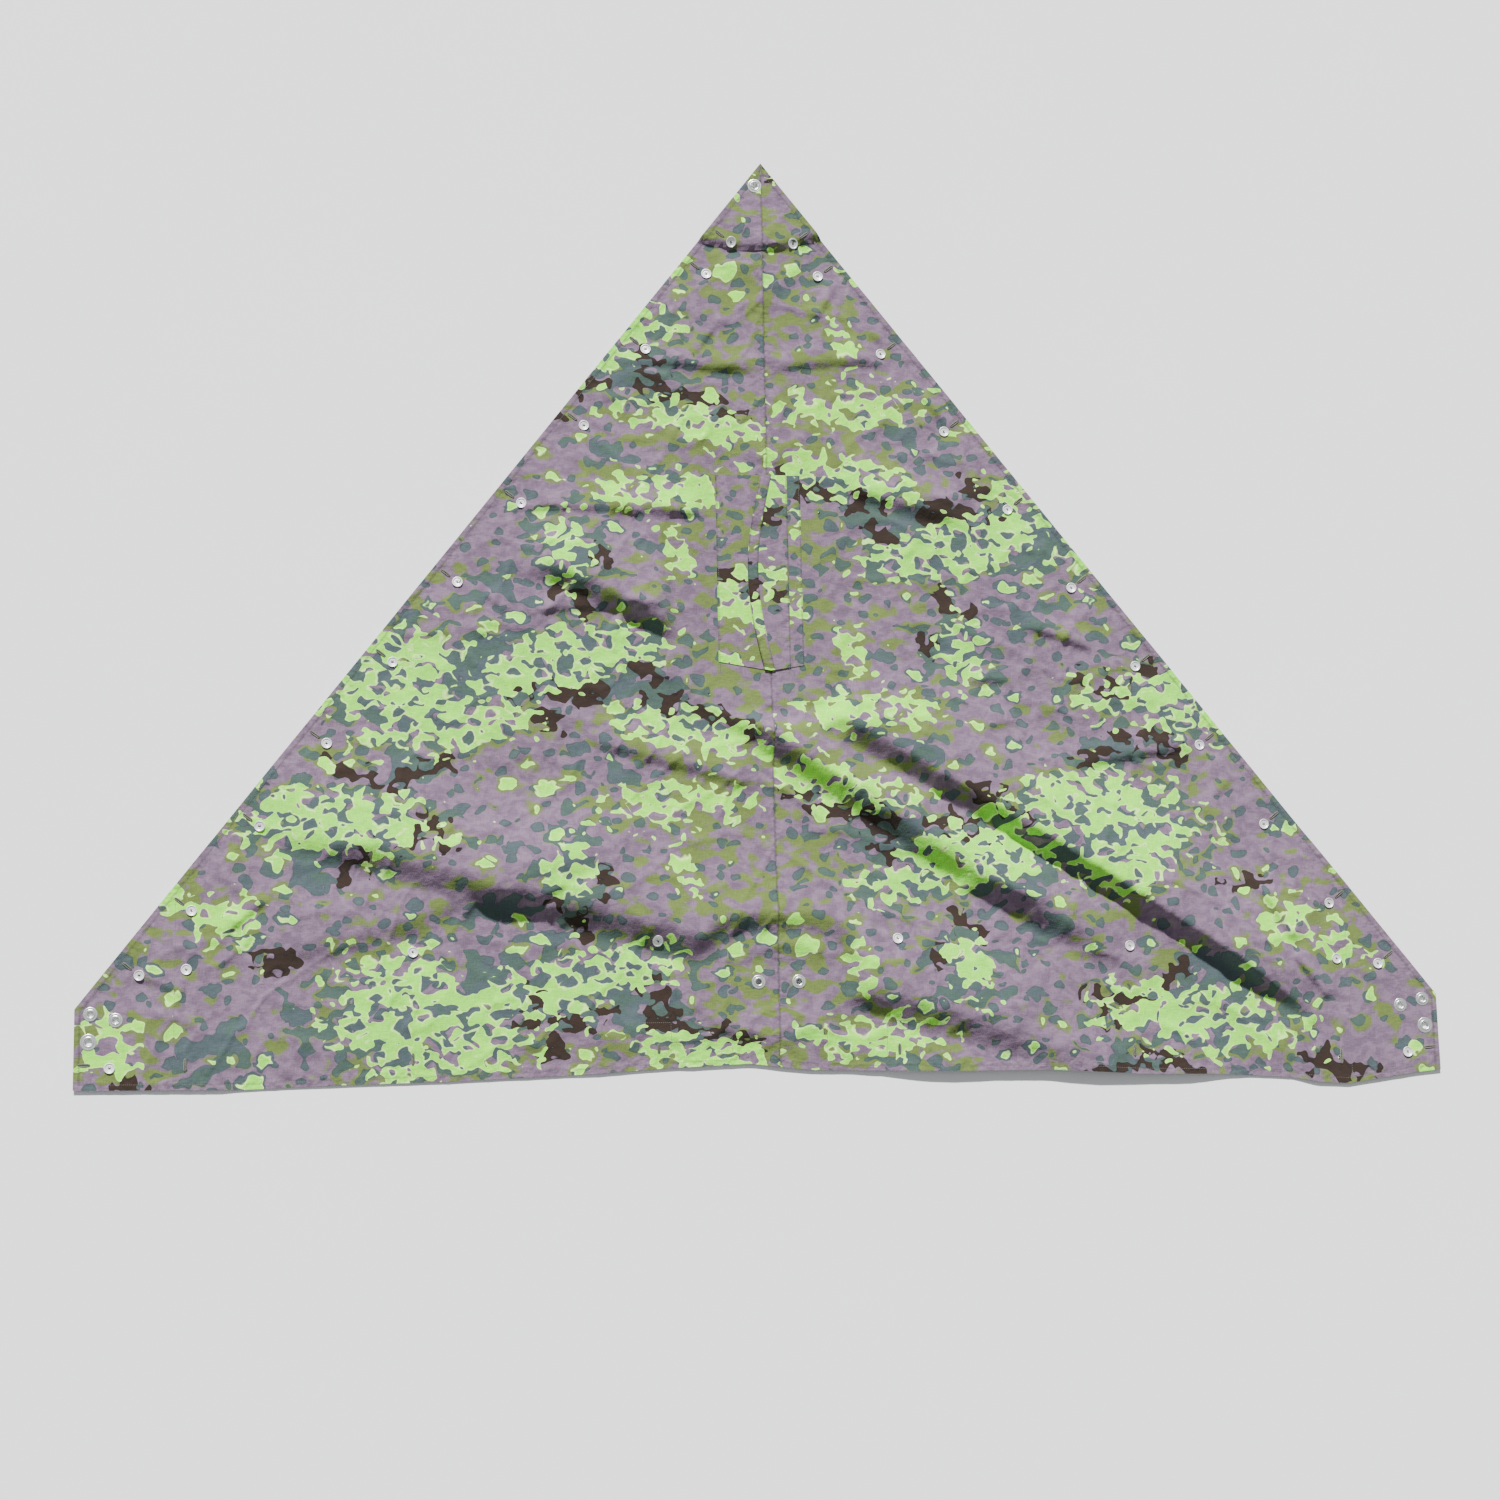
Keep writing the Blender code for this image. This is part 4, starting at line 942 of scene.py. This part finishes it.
def worked_holes(name, chosen):
    """Each hole is a long oval pad with a bead either side of a sunk slit. Across the hole a bead is a bell
    curve; along it, its height follows the root of 1 less the fourth power."""
    along, across = np.meshgrid(np.linspace(-1, 1, 15), np.linspace(-1, 1, 9), indexing="ij")
    bead = np.sqrt(np.clip(1 - along**4, 0, 1))
    profile = 0.0012 * np.exp(-((np.abs(across) - 0.55) / 0.26) ** 2) * bead
    step_x, step_y = along * HOLE_LENGTH / 2, across * HOLE_SWELL * np.maximum(bead, 0.15)
    points, uvs = [], []
    for number, (x, y, dx, dy) in enumerate(chosen):
        px, py = x + step_x * dx - step_y * dy, y + step_x * dy + step_y * dx
        top, low = hem_top(px, py) + profile, panel_top(px, py) - 0.0002
        points += [laid(px, py, z).reshape(-1, 3) for z in (top, low)]
        uvs += [np.stack([along * 4 + number, across], -1).reshape(-1, 2)] * 2
    per = along.size
    index = np.arange(per).reshape(along.shape)
    quads = np.stack([index[:-1, :-1], index[1:, :-1], index[1:, 1:], index[:-1, 1:]], -1).reshape(-1, 4)
    loop = np.concatenate([index[:, 0], index[-1, 1:], index[-2::-1, -1], index[0, -2:0:-1]])
    ahead = np.roll(loop, -1)
    walls = np.stack([ahead, loop, loop + per, ahead + per], -1)
    shell = np.concatenate([quads, quads[:, ::-1] + per, walls])
    faces = (shell[None] + 2 * per * np.arange(len(chosen))[:, None, None]).reshape(-1, 4)
    uvs = np.concatenate(uvs)
    piece = smooth_piece(name, np.concatenate(points), faces.tolist(), bead_look)
    piece.data.uv_layers.new(name="along").data.foreach_set("uv", uvs[faces.ravel()].ravel())
    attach(piece, "sheet")


worked_holes("buttonholes", hole_places())


# ---- Buttons ----
# Stamped light-metal buttons, 19 mm across, dished, with a rolled rim and four thread holes. Each is sewn
# through the cloth with dark thread, some way in from the edge, to button this sheet to the next.

def lathe(profile, turns):
    """Profile of (radius, height) turned about Z: rings of points, and the points' numbers."""
    radius, height = np.array(profile).T
    angle = np.linspace(0, 2 * math.pi, turns, endpoint=False)
    points = np.stack([radius[:, None] * np.cos(angle), radius[:, None] * np.sin(angle),
                       np.broadcast_to(height[:, None], (radius.size, turns))], -1)
    return points, np.arange(radius.size * turns).reshape(radius.size, turns)


def metal(name, tint, rough, scratch, bare):
    """Bare stamped metal: clouded by wear and finely scratched."""
    look, tree, shader = new_look(name)
    place = add_node(tree, "TexCoord").outputs["Object"]
    cloud = add_node(tree, "TexNoise", {"Vector": place, "Scale": 260.0, "Detail": 4.0})
    lines = add_node(tree, "TexNoise",
                     {"Vector": stretched(tree, place, 2600, 260, 3), "Scale": 1.0, "Detail": 2.0})
    tone = over(tree, cloud.outputs["Fac"], dimmed(tint, 0.80), tint + (1,))
    tree.links.new(tone, shader.inputs["Base Color"])
    worn = add_node(tree, "MapRange",
                    {"Value": cloud.outputs["Fac"], "To Min": rough - 0.1, "To Max": rough + 0.12})
    tree.links.new(worn.outputs[0], shader.inputs["Roughness"])
    bump = add_node(tree, "Bump", {"Height": lines.outputs["Fac"], "Strength": scratch, "Distance": 0.00005})
    tree.links.new(bump.outputs[0], shader.inputs["Normal"])
    shader.inputs["Metallic"].default_value = bare
    return look


button_look = metal("button_metal", (0.98, 0.98, 0.97), 0.40, 0.5, 0.4)
eyelet_look = metal("eyelet_metal", (0.86, 0.90, 0.86), 0.30, 0.6, 0.85)
# Radius and height, from the foot out over the rim and in across the dish
BUTTON_PROFILE = (
    (0.0050, 0.0000), (0.0062, 0.0001), (0.0078, 0.0005), (0.0089, 0.0011), (0.0094, 0.0016),
    (0.0096, 0.0021), (0.0095, 0.0026), (0.0091, 0.0029), (0.0085, 0.0029), (0.0079, 0.0026),
    (0.0074, 0.0021), (0.0068, 0.0016), (0.0061, 0.0013), (0.0056, 0.0012), (0.0051, 0.0014),
    (0.0046, 0.0014), (0.0041, 0.0012), (0.0036, 0.0011), (0.0031, 0.0011), (0.0026, 0.0011),
    (0.0021, 0.0011), (0.0016, 0.0011), (0.0011, 0.0011), (0.0006, 0.0011),
)
DISH_START = 13  # last ring of the profile outside the dish
TURNS = 48
BUTTON_REACH = 0.010  # either way from its middle, where the cloth's tilt is taken
PIT_OFF, PIT_RADIUS, PIT_DEPTH = 0.0017, 0.0007, 0.0008


def tilt(x, y, reach):
    """Slopes of the cloth in x and y at a fitting, taken across its width."""
    across = (lie(x + reach, y) - lie(x - reach, y)) / (2 * reach)
    return across, (lie(x, y + reach) - lie(x, y - reach)) / (2 * reach)


def fitting_spot(x, y):
    """Where the middle of a fitting comes to lie in plan."""
    plan_x, plan_y = shifted(np.array(x), np.array(y))
    return float(plan_x), float(plan_y) - RISE / 2


def make_button(name, node, x, y, z):
    """Turned profile, closed by a point above and below and leant with the cloth. Each of four thread holes
    is a pit, its depth the exponential of minus the fourth power of the distance from its middle."""
    points, rings = lathe(BUTTON_PROFILE, TURNS)
    pits = sum(np.exp(-(((points[..., 0] - px) ** 2 + (points[..., 1] - py) ** 2) / PIT_RADIUS**2) ** 2)
               for px in (-PIT_OFF, PIT_OFF) for py in (-PIT_OFF, PIT_OFF))
    points[..., 2] -= PIT_DEPTH * pits * (np.arange(len(BUTTON_PROFILE)) > DISH_START)[:, None]
    points = np.concatenate([points.reshape(-1, 3), [(0, 0, 0.0), (0, 0, 0.0011)]])
    slope_x, slope_y = tilt(x, y, BUTTON_REACH)
    points[:, 2] += slope_x * points[:, 0] + slope_y * points[:, 1]
    points += (*fitting_spot(x, y), z)
    ahead = np.roll(rings, -1, axis=1)
    quads = np.stack([rings[:-1], ahead[:-1], ahead[1:], rings[1:]], -1).reshape(-1, 4)
    last = rings.size
    caps = [(last, b, a) for a, b in zip(rings[0], ahead[0])]
    caps += [(last + 1, a, b) for a, b in zip(rings[-1], ahead[-1])]
    faces = quads.tolist() + [tuple(map(int, cap)) for cap in caps]
    piece = smooth_piece(name, points, faces, button_look)
    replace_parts(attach(piece, "sheet"), node)


for name, (x, y, z) in zip(button_names, button_places):
    make_button(name.replace("button", "stamped_button"), name, x, y, float(lie(x, y)) + CLOTH + 0.0001)


# ---- Button threads ----
# Dark thread, several times through the four holes and wound once or twice, so that it fills the middle of
# each button with an uneven knot.

dark_look, dark_tree, dark_shader = new_look("button_thread")
dark_place = add_node(dark_tree, "TexCoord").outputs["Object"]
dark_noise = add_node(dark_tree, "TexNoise", {"Vector": dark_place, "Scale": 1200.0, "Detail": 3.0})
dark_tone = over(dark_tree, dark_noise.outputs["Fac"], linear(34, 34, 34), linear(84, 84, 80))
dark_tree.links.new(dark_tone, dark_shader.inputs["Base Color"])
dark_bump = add_node(dark_tree, "Bump", {"Height": dark_noise.outputs["Fac"], "Distance": 0.0002})
dark_tree.links.new(dark_bump.outputs[0], dark_shader.inputs["Normal"])
dark_shader.inputs["Roughness"].default_value = 0.9


# Holes that each turn of thread joins, as (x, y) signs
THREAD_TURNS = (
    ((-1, -1), (1, 1)), ((1, -1), (-1, 1)), ((-1, -1), (1, -1)),
    ((-1, 1), (1, 1)), ((-1, -1), (1, 1)), ((1, -1), (-1, 1)),
)


def thread_loops():
    """Six arcs over each button's middle, between its holes: tubes of six sides along half sine humps."""
    chance = np.random.default_rng(7)
    steps, sides = 9, 6
    share = np.linspace(0, 1, steps)
    points = []
    for x, y, _ in button_places:
        base = float(lie(x, y)) + CLOTH + 0.0009
        slope_x, slope_y = tilt(x, y, BUTTON_REACH)
        spot_x, spot_y = fitting_spot(x, y)
        turn = chance.uniform(0, math.pi / 2)
        for start, end in THREAD_TURNS:
            wander = chance.uniform(-0.0005, 0.0005, (2, 2))
            ends = np.array([start, end]) * 0.0018 + wander
            line = ends[0] + (ends[1] - ends[0]) * share[:, None]
            line = line @ np.array(((math.cos(turn), math.sin(turn)), (-math.sin(turn), math.cos(turn))))
            height = 0.0011 * np.sin(math.pi * share) * chance.uniform(0.7, 1.2) - 0.0002
            way = (line[-1] - line[0]) / np.hypot(*(line[-1] - line[0]))
            angle = np.linspace(0, 2 * math.pi, sides, endpoint=False)
            thick = 0.00042 * np.sin(math.pi * np.clip(share, 0.04, 0.96)) ** 0.25
            side = np.cos(angle)[None, :] * thick[:, None]
            lift = np.sin(angle)[None, :] * thick[:, None]
            px = line[:, :1] - way[1] * side
            py = line[:, 1:] + way[0] * side
            pz = base + height[:, None] + lift + slope_x * px + slope_y * py
            points.append(np.stack([spot_x + px, spot_y + py, pz], -1).reshape(-1, 3))
    index = np.arange(steps * sides).reshape(steps, sides)
    ahead = np.roll(index, -1, axis=1)
    quads = np.stack([index[:-1], ahead[:-1], ahead[1:], index[1:]], -1).reshape(-1, 4)
    fans = [[index[0, 0], index[0, k + 1], index[0, k]] for k in range(1, sides - 1)]
    fans += [[index[-1, 0], index[-1, k], index[-1, k + 1]] for k in range(1, sides - 1)]
    tubes = []
    for number in range(len(points)):
        shift = number * steps * sides
        tubes += (quads + shift).tolist() + [[int(v) + shift for v in fan] for fan in fans]
    return np.concatenate(points), tubes


loop_points, loop_faces = thread_loops()
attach(smooth_piece("button_threads", loop_points, loop_faces, dark_look), "sheet")


# ---- Eyelets ----
# Two-part rolled eyelets in light metal: a flanged barrel pressed through cloth and patch, and a washer that
# it is rolled over below. The lip round the hole stands up as a ring.

def eyelet_profile(hole, flange):
    """Section of the ring as (radius, height): washer below, barrel, and flange with a rolled lip above."""
    stack = UNDER_FITTINGS + CLOTH + 0.0003
    turn = np.linspace(math.pi, 0, 9)
    roll = [(hole + 0.0019 + 0.0019 * math.cos(t), stack + 0.0004 + 0.0013 * math.sin(t)) for t in turn]
    washer = [(hole, 0.0003), (hole + 0.0004, 0.0), (flange - 0.0009, 0.0), (flange - 0.0005, 0.0003),
              (flange - 0.0005, 0.0008), (flange - 0.0009, 0.0010), (hole + 0.0008, 0.0010),
              (hole + 0.0006, 0.0013)]
    rim_ring = [(hole + 0.0006, stack - 0.0002), (hole + 0.0009, stack), (flange - 0.0006, stack - 0.0001),
                (flange - 0.0001, stack + 0.0000), (flange, stack + 0.0003),
                (flange - 0.0003, stack + 0.0005), (flange - 0.0012, stack + 0.0006),
                (hole + 0.0050, stack + 0.0006), (hole + 0.0042, stack + 0.0005)]
    return [*washer, *rim_ring, *roll[::-1], (hole, stack - 0.0004)]


def make_eyelet(name, node, x, y, z, hole, flange):
    """Closed ring turned from its section, the rolled lip's height waving by six petals of a cosine."""
    points, rings = lathe(eyelet_profile(hole, flange), 64)
    angle = np.arctan2(points[..., 1], points[..., 0])
    points[..., 2] += 0.00010 * np.cos(6 * angle) * (points[..., 2] > UNDER_FITTINGS + CLOTH + 0.0012)
    points = points.reshape(-1, 3) + (*fitting_spot(x, y), z)
    upper = np.roll(rings, -1, axis=0)
    ahead, upper_ahead = np.roll(rings, -1, axis=1), np.roll(upper, -1, axis=1)
    quads = np.stack([rings, upper, upper_ahead, ahead], -1).reshape(-1, 4)
    piece = smooth_piece(name, points, quads[:, ::-1].tolist(), eyelet_look)
    piece.data.set_sharp_from_angle(angle=math.radians(50))
    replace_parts(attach(piece, "sheet"), node)


SMALL_HOLE = 0.00525
WIDER_HOLES = {0.0145: 0.0065, 0.0135: 0.0060}  # flange radius: hole radius
for name, (x, y, z) in zip(eyelet_names, eyelet_places):
    low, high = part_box(name)
    flange = (high.x - low.x) / 2
    hole = WIDER_HOLES.get(round(flange, 4), SMALL_HOLE)
    make_eyelet(name.replace("eyelet", "rolled_eyelet"), name, x, y, float(z), hole, flange)
